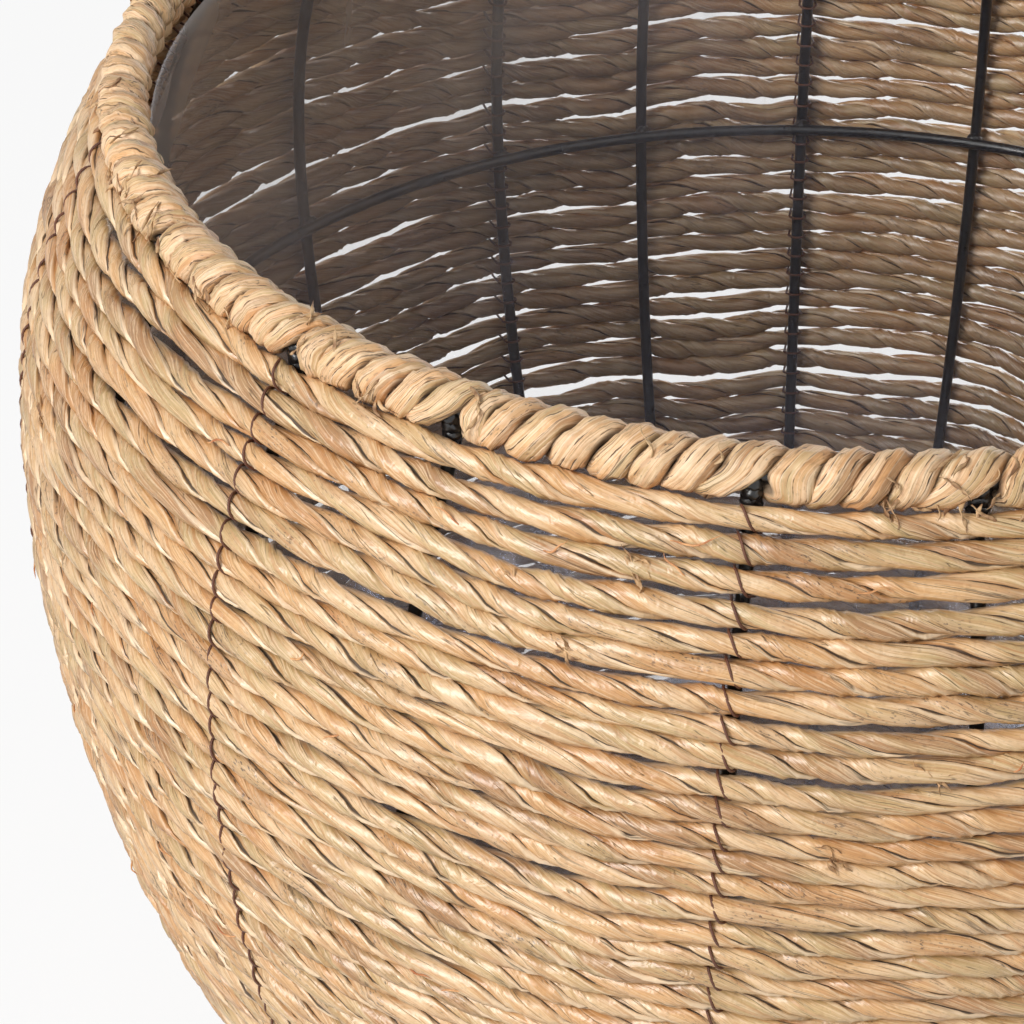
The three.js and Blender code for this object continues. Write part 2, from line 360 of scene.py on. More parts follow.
# Tones of dry leaf from brown through dull green and straw to pale and on to tan, as shares of its
# colour's red, green and blue
LEAF_TONES = (
    (0.20, (0.56, 0.44, 0.36)),
    (0.34, (0.76, 0.80, 0.74)),
    (0.44, (0.92, 0.92, 0.88)),
    (0.53, (1.06, 1.08, 1.22)),
    (0.62, (1.00, 0.93, 0.88)),
    (0.72, (0.96, 0.80, 0.66)),
    (0.86, (0.76, 0.56, 0.40)),
)
# Pale fibre streaks: grain of the leaf, also standing in as painted sheen
PALE_FIBRE_AND_SHEEN = (1.22, 1.36, 1.75)
DARK_FIBRE = (0.62, 0.44, 0.32)
BROWN_VEIN = (0.72, 0.48, 0.32)
STAINED_LEAF = (0.50, 0.36, 0.26)
# Painted shade where a leaf goes under the next one
PAINTED_TUCK_SHADE = (0.66, 0.40, 0.26)
# Painted highlight on the edge of the leaf on top
PAINTED_LIP_HIGHLIGHT = (1.32, 1.52, 2.05)
# Painted shade on the side of the rope that faces into the basket
PAINTED_INNER_SHADE = (0.40, 0.40, 0.50)

# Specks, which are dark whatever the leaf's own colour, a near-black painted shade for the slits where one
# leaf tucks under the next and for cracks, and the depth of its relief
FLECK_COLOUR = (0.060, 0.036, 0.022)
PAINTED_SLIT_SHADE = (0.040, 0.018, 0.008)
LEAF_RELIEF = 0.8 * MM


def leaf_tones(nodes, colour, chooser):
    """A tone of leaf for each value of the chooser."""
    stops = [(position, tinted(colour, *tone)) for position, tone in LEAF_TONES]
    return nodes.add("ShaderNodeValToRGB", {"stops": stops}, [chooser])


def leaf_surface(nodes, colour, along, across, identity, edge, tuck, lip, inner_shade=0.0, dull=0.0):
    """Dry leaf: along runs with the fibres and across over them, both in metres; identity differs
    from leaf to leaf, edge is 1 where a leaf's edge tucks under the next one, which gets painted
    shade, tuck rises towards that edge and paints shade where the leaf goes under, lip is 1 on the
    bare edge of the leaf on top, which gets a painted highlight, inner is 1 on the side that faces
    into the basket, which gets painted shade, and dull takes gloss away."""

    def grain(across_rate, along_rate, shift, detail, roughness=0.5, distortion=0.0):
        """Noise of so many waves a metre across and along the leaf, shifted from leaf to leaf."""
        place = nodes.vector(across * across_rate, along * along_rate, shift)
        return nodes.noise(place, 1.0, detail, roughness, distortion)

    own = nodes.noise(nodes.vector(identity * 5.3, along * 10.0, 2.0), 1.0, 1.0)
    broad = grain(160.0, 18.0, identity * 3.7, 2.0)
    fibre = grain(2100.0, 50.0, identity * 2.1, 2.0, 0.75)
    vein = grain(950.0, 26.0, identity * 4.3, 1.0)
    split = grain(380.0, 20.0, identity * 6.1, 2.0, 0.55, 0.5)
    wrinkle = grain(230.0, 190.0, identity * 3.3, 2.0, 0.6, 0.8)
    rub = grain(330.0, 170.0, identity, 2.0, 0.65)
    fleck = grain(1900.0, 620.0, identity * 8.0, 2.0, 0.6)
    stain = grain(60.0, 24.0, identity * 1.3 + 9.0, 2.0, 0.6).rising(0.52, 0.68)
    crack = (1.0 - (split - 0.5).math("ABSOLUTE") * 60.0).clamped() * vein.rising(0.52, 0.60)
    # painted shade: near black in the slits where one leaf tucks under the next, and in cracks
    slit_shade = (edge + crack * 0.75).clamped()

    shade = leaf_tones(nodes, colour, 0.5 + (own - 0.5) * 2.1 + (broad - 0.5) * 0.7)
    layers = (
        # pale fibres, part grain and part painted sheen
        (fibre.rising(0.47, 0.62) * 0.58, tinted(colour, *PALE_FIBRE_AND_SHEEN)),
        (fibre.rising(0.46, 0.34) * 0.55, tinted(colour, *DARK_FIBRE)),
        (vein.rising(0.44, 0.32) * 0.50, tinted(colour, *BROWN_VEIN)),
        (rub.rising(0.54, 0.70) * 0.24, tinted(colour, *DARK_FIBRE)),
        (stain * 0.35, tinted(colour, *STAINED_LEAF)),
        (fleck.rising(0.57, 0.66) * (0.18 + stain * 0.65), FLECK_COLOUR),
        # painted shade where the leaf goes under the next one
        (tuck * 0.22, tinted(colour, *PAINTED_TUCK_SHADE)),
        # painted highlight along the edge of the leaf on top
        (lip * vein.rising(0.40, 0.58) * 0.85, tinted(colour, *PAINTED_LIP_HIGHLIGHT)),
        # painted shade on the side that faces into the basket
        (inner_shade * 0.42, tinted(colour, *PAINTED_INNER_SHADE)),
        # the painted shade in the slits and cracks
        (slit_shade * 0.94, PAINTED_SLIT_SHADE),
    )
    for strength, layer in layers:
        shade = nodes.colour_mix(strength, shade, layer)

    height = wrinkle * 0.75 + fibre * 0.045 + vein * 0.11 - crack * 0.30 - edge * 0.5
    rough = 0.20 + fibre * 0.16 + rub * 0.12 + slit_shade * 0.35 + dull
    return principled(nodes, {
        "Base Color": shade, "Roughness": rough, "Specular IOR Level": 0.75,
        "Normal": nodes.bumped(height, 0.8, LEAF_RELIEF),
    })


def attribute(nodes, name, output="Fac"):
    settings = {"attribute_type": "GEOMETRY", "attribute_name": name}
    return nodes.add("ShaderNodeAttribute", settings, {}, output)


def strand_phase(nodes, strands):
    """How many strand widths a place lies round the section, which turns with the twist."""
    round_x, round_y, _ = nodes.parts(attribute(nodes, "round", "Vector"))
    return strands * round_y.math("ARCTAN2", round_x) / TURN + strands


def rope_material(rope):
    """Twisted strands of leaf, each strand a leaf with its fibres along the twist."""
    material, nodes = new_material("twisted leaf rope")
    along = attribute(nodes, "along")
    phase = strand_phase(nodes, float(rope.strands))
    share = phase % 1.0
    strand = (phase - share) % float(rope.strands)
    strand_width = TURN * rope.radius / rope.strands
    tight = nodes.noise(nodes.vector(along * 4.0, 7.0, 4.0), 1.0, 1.0)
    opening = nodes.noise(nodes.vector(along * 80.0, strand * 13.0, 4.0), 1.0, 2.0) + (tight - 0.5) * 0.6
    width = 0.004 + opening.rising(0.42, 0.74) * 0.055
    # the slit between two strands, where the painted shade goes
    edge = (2.0 - share.math("MINIMUM", (1.0 - share) * 0.6) * 2.0 / width).clamped()
    # rises towards the edge where the leaf goes under; painted shade goes there
    tuck = share.rising(0.84, 1.0)
    # the edge of the strand on top, where a painted highlight goes
    lip = share.rising(0.17, 0.05)
    identity = strand + along * 1.7
    place = nodes.object_place()
    flat = [
        nodes.vector_math("MULTIPLY", spot, (1.0, 1.0, 0.0))
        for spot in (attribute(nodes, "centre", "Vector"), place)
    ]
    centre_radius, radius = (nodes.vector_math("LENGTH", spot, output="Value") for spot in flat)
    height = nodes.parts(place)[2]
    # painted shade on the rope's side that faces into the basket, taken off near the top where the light
    # reaches in
    inner_shade = (centre_radius - radius).rising(0.0, 0.7 * rope.radius) * height.rising(0.005, 0.030)
    inner_shade = inner_shade * (1.0 - 0.85 * height.rising(0.20, 0.32))
    across = share * strand_width
    colour = tuple(rope.colour)
    surface = leaf_surface(nodes, colour, along, across, identity, edge, tuck, lip, inner_shade)
    finish_material(nodes, surface)
    return material


# Folded ribbons that make up half a bundle, how much they lean, and a count that keeps them above 0
RIBBONS = 1.9
RIBBON_LEAN = 0.55
RIBBON_START = 20.0


def ribbon_count(nodes, wide, psi, number):
    """The count of ribbons up to a place on a bundle; they lean over more than the bundle does."""
    wander = nodes.noise(nodes.vector(psi * 0.5, number * 2.7, 5.0), 1.0, 0.0)
    return wide * RIBBONS - psi * RIBBON_LEAN + number * 0.37 + (wander - 0.5) + RIBBON_START


def wrap_material(rim):
    """Bundles of shredded leaf, with the fibres along the winding."""
    material, nodes = new_material("wound leaf bundle")
    psi = attribute(nodes, "psi")
    wide, _, _ = nodes.parts(attribute(nodes, "section", "Vector"))
    number = attribute(nodes, "number")
    along = psi * (RIM_WIRE / 2 + WRAP_THICKNESS)
    ribbons = ribbon_count(nodes, wide, psi, number)
    share = ribbons % 1.0
    across = ribbons * (rim.spacing / 2 / RIBBONS)
    opening = nodes.noise(nodes.vector(psi * 1.6, ribbons * 0.7, number * 3.0), 1.0, 2.0)
    width = 0.002 + opening.rising(0.48, 0.70) * 0.12
    # the slit between two ribbons, where the painted shade goes
    edge = (1.0 - share.math("MINIMUM", (1.0 - share) * 0.7) / width).clamped()
    # rises towards the edge where the ribbon goes under; painted shade goes there
    tuck = share.rising(0.70, 1.0)
    # the edge of the ribbon on top, where a painted highlight goes
    lip = share.rising(0.12, 0.05) * 0.6
    # painted shade where neighbouring bundles meet, added to the slits between ribbons
    beside = wide.math("ABSOLUTE").rising(0.80, 0.98)
    edge = edge.math("MAXIMUM", beside * 0.8)
    identity = (ribbons - share) * 0.9 + number * 1.9 + 40.0
    surface = leaf_surface(nodes, tuple(rim.colour), along, across, identity, edge, tuck, lip, dull=0.20)
    finish_material(nodes, surface)
    return material


DUST_COLOUR = (0.30, 0.24, 0.17)


def paint_material(wire):
    """Black gloss paint, a little lumpy, with leaf dust lying on it."""
    material, nodes = new_material("black wire paint")
    place = nodes.object_place()
    lump = nodes.noise(place, 420.0, 3.0, 0.6)
    grain = nodes.noise(place, 2600.0, 2.0, 0.6)
    dust = grain.rising(0.66, 0.76) * nodes.noise(place, 90.0, 2.0).rising(0.50, 0.66)
    colour = nodes.colour_mix(dust * 0.6, tuple(wire.paint), DUST_COLOUR)
    finish_material(nodes, principled(nodes, {
        "Base Color": colour, "Roughness": 0.22 + lump * 0.16 + dust * 0.4,
        "Specular IOR Level": 0.5, "Coat Weight": 0.3, "Coat Roughness": 0.12,
        "Normal": nodes.bumped(lump + grain * 0.2, 0.5, 0.4 * MM),
    }))
    return material


THREAD_LAY = 2.2 * MM
THREAD_PLIES = 3.0
THREAD_DARK = (0.110, 0.036, 0.018)
THREAD_WORN = (0.210, 0.078, 0.040)
# Painted shade in the grooves between the plies
THREAD_GROOVE_SHADE = (0.040, 0.014, 0.008)


def thread_material():
    """Dark brown waxed thread with a tight twist."""
    material, nodes = new_material("brown sewing thread")
    turns = attribute(nodes, "along") * THREAD_PLIES / THREAD_LAY
    twist = (strand_phase(nodes, THREAD_PLIES) + turns) % 1.0
    ridge = (twist * (1.0 - twist) * 4.0).clamped()
    place = nodes.object_place()
    worn = nodes.noise(place, 160.0, 2.0)
    colour = nodes.colour_mix(worn, THREAD_DARK, THREAD_WORN)
    # painted shade in the grooves between the plies, lighter on the ridges
    colour = nodes.colour_mix(0.35 + ridge * 0.5, THREAD_GROOVE_SHADE, colour)
    finish_material(nodes, principled(nodes, {
        "Base Color": colour, "Roughness": 0.38 + worn * 0.15,
        "Normal": nodes.bumped(ridge, 0.6, 0.2 * MM),
    }))
    return material


CLEAR_FILM = (0.77, 0.80, 0.93)
# Colour of the hazier film on the upper left
HAZY_FILM = (0.80, 0.76, 0.74)
FILM_ALPHA = 0.050


def film_material():
    """Thin clear film: a faint mirror, hazier on the upper left and at the foot, with a painted glare as
    haze at the front.
    """
    material, nodes = new_material("clear liner film")
    place = nodes.object_place()
    cloud = nodes.noise(place, 14.0, 3.0, 0.55, 0.6)
    x, y, z = nodes.parts(place)
    scuff = nodes.noise(nodes.vector(x * 60.0, y * 60.0, z * 9.0), 1.0, 3.0, 0.6)
    crease = nodes.noise(place, 34.0, 4.0, 0.6, 1.2)
    patchy = cloud.rising(0.25, 0.75)
    bunched = z.rising(0.150, 0.060)
    # a whiter, hazier patch over the upper left, stronger towards the top
    upper_left_haze = (x * -1.0 + y * 0.3).rising(0.020, 0.220) * z.rising(0.100, 0.320)
    upper_left_haze = upper_left_haze * (0.60 + patchy * 0.40)
    # painted glare: haze on the front part of the film stands in for the key lamp's glare on it
    front = (y * -1.0).rising(0.040, 0.210) * (0.70 + patchy * 0.30)
    haze = cloud.rising(0.50, 0.75) * 0.04 + scuff.rising(0.60, 0.80) * 0.04
    haze = haze + upper_left_haze * 0.26 + front * 0.14
    finish_material(nodes, principled(nodes, {
        "Base Color": nodes.colour_mix(upper_left_haze, CLEAR_FILM, HAZY_FILM),
        "Metallic": 1.0 - upper_left_haze.math("MAXIMUM", front) * 0.75,
        "Roughness": 0.12 + scuff * 0.10 + haze * 1.5, "Alpha": FILM_ALPHA + haze + bunched * 0.10,
        "Normal": nodes.bumped(crease, 0.4, 1.6 * MM),
    }))
    return material


def scrap_material(name, deep, pale):
    """Torn leaf, streaked between two tones."""
    material, nodes = new_material(name)
    place = nodes.object_place()
    tone = nodes.noise(place, 240.0, 3.0, 0.6)
    colour = nodes.colour_mix(tone.rising(0.35, 0.65), deep, pale)
    finish_material(nodes, principled(nodes, {
        "Base Color": colour, "Roughness": 0.6, "Normal": nodes.bumped(tone, 0.5, 0.3 * MM),
    }))
    return material


# The wall's curve and places round the basket

class WallCurve:
    """The wall's outer surface in a plane through the axis: two cubic curves that meet at the belly."""

    def __init__(self, samples=1500):
        mouth = np.array([MOUTH_RADIUS, RIM_HEIGHT - MOUTH_DROP])
        belly = np.array([BELLY_RADIUS, BELLY_HEIGHT])
        foot = np.array([FOOT_RADIUS, 0.0])
        shoulder_rise = mouth[1] - belly[1]
        flank_rise = belly[1] - foot[1]
        mouth_way = np.array([math.sin(MOUTH_LEAN), -math.cos(MOUTH_LEAN)])
        foot_way = np.array([math.sin(FOOT_LEAN), math.cos(FOOT_LEAN)])
        down = np.array([0.0, -1.0])
        shoulder = self.cubic(mouth, mouth + mouth_way * MOUTH_PULL * shoulder_rise,
                              belly - down * SHOULDER_PULL * shoulder_rise, belly, samples)
        flank = self.cubic(belly, belly + down * FLANK_PULL * flank_rise,
                           foot + foot_way * FOOT_PULL * flank_rise, foot, samples)
        points = np.vstack([shoulder, flank[1:]])
        steps = np.hypot(*np.diff(points, axis=0).T)
        self.distance = np.concatenate([[0.0], np.cumsum(steps)])
        self.length = float(self.distance[-1])
        self.points = points
        self.ways = np.gradient(points, self.distance, axis=0)

    @staticmethod
    def cubic(a, b, c, d, samples):
        t = np.linspace(0, 1, samples)[:, None]
        return (1 - t) ** 3 * a + 3 * (1 - t) ** 2 * t * b + 3 * (1 - t) * t ** 2 * c + t ** 3 * d

    def at(self, distance, depth):
        """Radius and height at a distance below the mouth and a depth inside the outer surface."""
        distance = np.asarray(distance, float)
        held = np.clip(distance, 0.0, self.length)
        over = distance - held
        radius, height = (np.interp(held, self.distance, self.points[:, i]) for i in (0, 1))
        way_r, way_z = (np.interp(held, self.distance, self.ways[:, i]) for i in (0, 1))
        return radius + over * way_r + depth * way_z, height + over * way_z - depth * way_r

    def distance_at_height(self, height, depth):
        """The distance below the mouth at which the curve at that depth passes a height."""
        distances = np.linspace(0, self.length, 4000)
        _, heights = self.at(distances, depth)
        return float(np.interp(-height, -heights, distances))


WALL = WallCurve()
COURSES = round(WALL.length / ROPE_DIAMETER)
PITCH = WALL.length / COURSES


def around(radius, azimuth, height):
    """Places at azimuths from the front, -Y, going round towards +X, one row each."""
    radius, azimuth, height = np.broadcast_arrays(radius, azimuth, height)
    return np.stack([radius * np.sin(azimuth), -radius * np.cos(azimuth), height], axis=-1)


def smooth(share):
    share = np.clip(share, 0.0, 1.0)
    return share * share * (3 - 2 * share)


def wandering(generator, places, spacing):
    """Smooth random values from about -1 to 1 with one free knot in each spacing."""
    count = int(math.ceil((places.max() - places.min()) / spacing)) + 3
    knots = generator.uniform(-1, 1, count)
    x = (places - places.min()) / spacing
    lower = np.floor(x).astype(int)
    return knots[lower] + (knots[lower + 1] - knots[lower]) * smooth(x - lower)


# Making plain meshes out of rails and Geometry Nodes

def rail_object(name, points, values, closed=False):
    """A mesh that is one line through the points, with named values at each."""
    count = len(points)
    edges = [(i, i + 1) for i in range(count - 1)]
    if closed:
        edges.append((count - 1, 0))
    mesh = bpy.data.meshes.new(name)
    mesh.from_pydata([tuple(p) for p in points], edges, [])
    return with_values(name, mesh, values)


def with_values(name, mesh, values):
    for key, numbers in values.items():
        layer = mesh.attributes.new(key, "FLOAT", "POINT")
        layer.data.foreach_set("value", np.asarray(numbers, np.float32))
    piece = bpy.data.objects.new(name, mesh)
    bpy.context.scene.collection.objects.link(piece)
    return piece


def new_group(name, sizes):
    """A Geometry Nodes tree with a geometry input and named sizes, its nodes and its inputs."""
    tree = bpy.data.node_groups.new(name, "GeometryNodeTree")
    tree.interface.new_socket("Geometry", in_out="INPUT", socket_type="NodeSocketGeometry")
    tree.interface.new_socket("Geometry", in_out="OUTPUT", socket_type="NodeSocketGeometry")
    for size, kind in sizes.items():
        tree.interface.new_socket(size, in_out="INPUT", socket_type="NodeSocket" + kind)
    nodes = Nodes(tree)
    source = tree.nodes.new("NodeGroupInput")
    given = {socket.name: Value(nodes, socket) for socket in source.outputs if socket.name}
    return tree, nodes, given


def end_group(nodes, geometry, material):
    """Realizes instances, smooths and sets the material, and ends the tree."""
    geometry = nodes.add("GeometryNodeRealizeInstances", {}, {"Geometry": geometry})
    geometry = nodes.add("GeometryNodeSetShadeSmooth", {}, {"Geometry": geometry})
    geometry = nodes.add("GeometryNodeSetMaterial", {}, {"Geometry": geometry, "Material": material})
    sink = nodes.tree.nodes.new("NodeGroupOutput")
    nodes.tree.links.new(geometry.socket, sink.inputs[0])


def grown(host, tree, sizes):
    """The host's geometry after the tree, as a plain mesh object of the host's name."""
    modifier = host.modifiers.new("Shape", "NODES")
    modifier.node_group = tree
    for item in tree.interface.items_tree:
        if item.in_out == "INPUT" and item.name in sizes:
            modifier[item.identifier] = sizes[item.name]
    host.update_tag()
    evaluated = host.evaluated_get(bpy.context.evaluated_depsgraph_get())
    mesh = bpy.data.meshes.new_from_object(evaluated)
    name = host.name
    host.modifiers.remove(modifier)
    bpy.data.objects.remove(host)
    piece = bpy.data.objects.new(name, mesh)
    bpy.context.scene.collection.objects.link(piece)
    return piece


def settle(piece, replaced=()):
    """Puts a finished piece on the basket's one body, for the nodes it stands for."""
    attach(piece, "root")
    if replaced:
        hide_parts(*replaced)
    return piece


def read(nodes, name, kind="FLOAT"):
    return nodes.add("GeometryNodeInputNamedAttribute", {"data_type": kind}, {"Name": name})


def store(nodes, geometry, name, value, kind="FLOAT"):
    settings = {"data_type": kind, "domain": "POINT"}
    inputs = {"Geometry": geometry, "Name": name, "Value": value}
    return nodes.add("GeometryNodeStoreNamedAttribute", settings, inputs)


def rail_curve(nodes, given, normals="Z_UP"):
    """The rail as an even curve that keeps its centre line for its section's points."""
    curve = nodes.add("GeometryNodeMeshToCurve", {}, {"Mesh": given["Geometry"]})
    inputs = {"Curve": curve, "Length": given["Step"]}
    curve = nodes.add("GeometryNodeResampleCurve", {"mode": "LENGTH"}, inputs)
    curve = nodes.add("GeometryNodeSetCurveNormal", {"mode": normals}, {"Curve": curve})
    return store(nodes, curve, "centre", nodes.add("GeometryNodeInputPosition"), "FLOAT_VECTOR")


def round_section(nodes, given):
    """A round section that remembers where each of its points lies round it."""
    section = nodes.add("GeometryNodeCurvePrimitiveCircle", {"mode": "RADIUS"},
                        {"Resolution": given["Sides"], "Radius": 1.0})
    return store(nodes, section, "round", nodes.add("GeometryNodeInputPosition"), "FLOAT_VECTOR")


def sweep(nodes, given, curve, section):
    return nodes.add("GeometryNodeCurveToMesh", {}, {
        "Curve": curve, "Profile Curve": section, "Scale": given["Radius"] * read(nodes, "swell"),
        "Fill Caps": True,
    })


def swollen(nodes, mesh, factor):
    """The swept mesh with each point's distance from the rail scaled."""
    centre = read(nodes, "centre", "FLOAT_VECTOR")
    arm = nodes.vector_math("SUBTRACT", nodes.add("GeometryNodeInputPosition"), centre)
    place = nodes.vector_math("ADD", centre, nodes.scaled(arm, factor))
    return nodes.add("GeometryNodeSetPosition", {}, {"Geometry": mesh, "Position": place})


SWEEP_SIZES = {"Radius": "Float", "Step": "Float", "Sides": "Int"}


def strand_section(nodes, given):
    """The rope's section, with its points gathered where one leaf slips under another."""
    section = round_section(nodes, given)
    places = nodes.add("GeometryNodeInputIndex") * given["Strands"] / given["Sides"]
    even = places % 1.0
    share = even - 0.125 * (even * TURN).math("SINE")
    angle = (places - even + share) * TURN / given["Strands"]
    place = nodes.vector(angle.math("COSINE"), angle.math("SINE"), 0.0)
    section = store(nodes, section, "round", place, "FLOAT_VECTOR")
    return nodes.add("GeometryNodeSetPosition", {}, {"Geometry": section, "Position": place})


def rope_tree(rope, material):
    """Leaf strands twisted round each other along a rail."""
    sizes = {
        **SWEEP_SIZES, "Strands": "Float", "Lay length": "Float", "Groove": "Float", "Oval": "Float",
        "Flat lie": "Float", "Seed": "Float",
    }
    tree, nodes, given = new_group("Twisted rope", sizes)
    curve = rail_curve(nodes, given)
    along = read(nodes, "along")
    sway = nodes.noise(nodes.vector(along * 14.0, given["Seed"], 1.0), 1.0, 1.0)
    turned = along * TURN / given["Lay length"] + (sway - 0.5) * LAY_WANDER
    tilt = turned + given["Flat lie"] * (turned * given["Strands"]).math("SINE")
    curve = nodes.add("GeometryNodeSetCurveTilt", {}, {"Curve": curve, "Tilt": tilt})
    mesh = sweep(nodes, given, curve, strand_section(nodes, given))
    along = read(nodes, "along")
    round_x, round_y, _ = nodes.parts(read(nodes, "round", "FLOAT_VECTOR"))
    phase = given["Strands"] * round_y.math("ARCTAN2", round_x) / TURN + given["Strands"]
    share = phase % 1.0
    strand = (phase - share) % given["Strands"]
    tucked = nodes.noise(nodes.vector(along * 30.0, strand * 9.0, given["Seed"] + 6.0), 1.0, 1.0)
    tucked = tucked.rising(0.30, 0.62)
    lip = share.rising(0.0, 0.07) * share.rising(0.30, 0.10)
    sunk = share.rising(0.05, 0.0) + 0.55 * share.rising(0.45, 1.0) - 0.45 * lip
    groove = given["Groove"] / given["Radius"] * (0.35 + 1.3 * tucked) * sunk
    fat = nodes.noise(nodes.vector(along * 30.0, strand * 11.0, given["Seed"]), 1.0, 1.0)
    crease = nodes.noise(nodes.vector(share * 5.0, along * 75.0, strand * 7.0 + given["Seed"]), 1.0, 2.0)
    body = (share * (1.0 - share) * 4.0).clamped()
    oval = given["Oval"] * -1.0 * (share * TURN).math("COSINE")
    uneven = (fat - 0.5) * STRAND_SWELL * body + (crease - 0.5) * CREASE_SWELL * body
    mesh = swollen(nodes, mesh, 1.0 - groove + oval + uneven)
    end_group(nodes, mesh, material)
    return tree, {
        "Radius": rope.radius, "Strands": float(rope.strands), "Lay length": rope.lay,
        "Groove": rope.groove, "Oval": rope.oval, "Flat lie": rope.flat_lie, "Seed": float(rope.seed),
    }


def wire_tree(name, material, lumps):
    """A smooth round wire or thread along a rail, with faint lumps."""
    tree, nodes, given = new_group(name, {**SWEEP_SIZES, "Lumps": "Float"})
    mesh = sweep(nodes, given, rail_curve(nodes, given, "MINIMUM_TWIST"), round_section(nodes, given))
    lump = nodes.noise(nodes.add("GeometryNodeInputPosition"), 260.0, 2.0)
    mesh = swollen(nodes, mesh, 1.0 + given["Lumps"] / given["Radius"] * (lump - 0.5))
    end_group(nodes, mesh, material)
    return tree, {"Lumps": lumps}


def lengths_along(points):
    return np.concatenate([[0.0], np.cumsum(np.linalg.norm(np.diff(points, axis=0), axis=1))])


# Wall and base of twisted rope

# Strands: how far the twist wanders, in radians, and how much strands and creases swell the rope
LAY_WANDER = 7.0
STRAND_SWELL = 0.34
CREASE_SWELL = 0.16

# Low on the wall the ropes are fuller and lie closer; the share of the courses above that part
LOW_COURSES = 0.66
LOW_FULLNESS = 0.04

# Knots a turn in each kind of unevenness along the rope
SLOW_KNOTS = 15
QUICK_KNOTS = 40
LUMP_KNOTS = 66
SLIT_KNOTS = 21
SHORT_SLIT_KNOTS = 44
LINE_KNOTS = 12
DEPTH_KNOTS = 30

# How much a stitch squeezes the rope, what it takes to open a slit, and how far the rope strays
STITCH_SQUEEZE = 0.07
STITCH_REACH = 0.06
SLIT_START = 0.06
LINE_WANDER = 0.4 * MM
DEPTH_WANDER = 0.2 * MM
SETTLING = 0.93

# Meshes of wall and base, and how the base's rings lie
ROPE_STEP = 3.2 * MM
ROPE_SIDES = 24
BASE_STEP = 3.6 * MM
BASE_SIDES = 18
BASE_POINTS_A_TURN = 180
BASE_PACKING = 0.975
BASE_LIFT = 1.2
BASE_EYE = 3.9 * MM
WALL_BANDS = 6
RAIL_POINTS_A_TURN = 240


def course_of(turns):
    """How many courses below the mouth the rope's centre lies after so many turns."""
    whole = np.floor(turns)
    return whole + 0.5 + smooth((turns - whole - 1 + CLIMB_SHARE) / CLIMB_SHARE)


class WallLay:
    """Where the rope lies on the wall: each course rests on the last, so that thick stretches push
    the next ones down and gaps open between them."""

    def __init__(self, rope):
        generator = np.random.RandomState(rope.seed)
        first, last = -CLIMB_SHARE, COURSES - CLIMB_SHARE
        self.turns = np.linspace(first, last, int((last - first) * RAIL_POINTS_A_TURN) + 1)
        turn = RAIL_POINTS_A_TURN
        slow = wandering(generator, self.turns, 1 / SLOW_KNOTS)
        quick = wandering(generator, self.turns, 1 / QUICK_KNOTS)
        azimuths = CLIMB_END + self.turns * TURN
        apart = [np.abs((azimuths - rib + math.pi) % TURN - math.pi) for rib in STITCHED_RIBS]
        pinch = 1 - smooth(np.min(apart, axis=0) / STITCH_REACH)
        low = smooth((course_of(self.turns) / COURSES - LOW_COURSES) / 0.1)
        lumps = wandering(generator, self.turns, 1 / LUMP_KNOTS)
        fullness = 1 + rope.swelling * (0.7 * slow + 0.3 * quick)
        fullness = fullness - STITCH_SQUEEZE * pinch + LOW_FULLNESS * low
        self.swell = fullness + rope.lumps * lumps
        opening = 0.8 * wandering(generator, self.turns, 1 / SLIT_KNOTS)
        opening = opening + 0.3 * wandering(generator, self.turns, 1 / SHORT_SLIT_KNOTS)
        gap = rope.gap * (opening - SLIT_START).clip(0) * (1 - 0.5 * pinch) * (1 - 0.8 * low)
        spacing = rope.radius * (fullness[turn:] + fullness[:-turn]) + gap[turn:]
        for azimuth in range(turn):
            spacing[azimuth::turn] -= spacing[azimuth::turn].mean() - PITCH
        for start in range(0, len(spacing), turn):
            spacing[start:start + turn] -= spacing[start:start + turn].mean() - PITCH
        stray = LINE_WANDER * wandering(generator, self.turns, 1 / LINE_KNOTS)
        for start in range(turn, len(stray), turn):
            part = slice(start, min(start + turn, len(stray)))
            above = stray[start - turn:part.stop - turn]
            stray[part] = SETTLING * above + spacing[start - turn:part.stop - turn] - PITCH
        held = np.clip((self.turns - first) * 2, 0, 1) * np.clip((last - self.turns) / 2, 0, 1)
        self.distance = course_of(self.turns) * PITCH + stray * held
        sunk = 1 + wandering(generator, self.turns, 1 / DEPTH_KNOTS)
        self.depth = rope.radius * fullness + DEPTH_WANDER * sunk

    def rail(self):
        """The rope's centre line and its length so far."""
        radius, height = WALL.at(self.distance, self.depth)
        points = around(radius, CLIMB_END + self.turns * TURN, height)
        return points, lengths_along(points)

    def at(self, turns):
        """Distance below the mouth, depth and swelling where the rope has made so many turns."""
        rows = (self.distance, self.depth, self.swell)
        return [float(np.interp(turns, self.turns, row)) for row in rows]


class BASKET_OT_rope_wall(bpy.types.Operator):
    """Winds the wall: one twisted rope laid in courses from the rim to the foot"""
    bl_idname = "basket.rope_wall"
    bl_label = "Rope wall"

    def execute(self, context):
        rope = context.scene.basket.rope
        material = rope_material(rope)
        lay = WallLay(rope)
        points, along = lay.rail()
        tree, sizes = rope_tree(rope, material)
        cuts = np.linspace(0, len(points) - 1, WALL_BANDS + 1).astype(int)
        for band, (start, end) in enumerate(zip(cuts[:-1], cuts[1:])):
            part = slice(start, end + 1)
            values = {"along": along[part], "swell": lay.swell[part]}
            rail = rail_object(f"rope_courses_{band + 1}", points[part], values)
            piece = grown(rail, tree, {**sizes, "Step": ROPE_STEP, "Sides": ROPE_SIDES})
            settle(piece, ["rope_wall"])
        return {"FINISHED"}


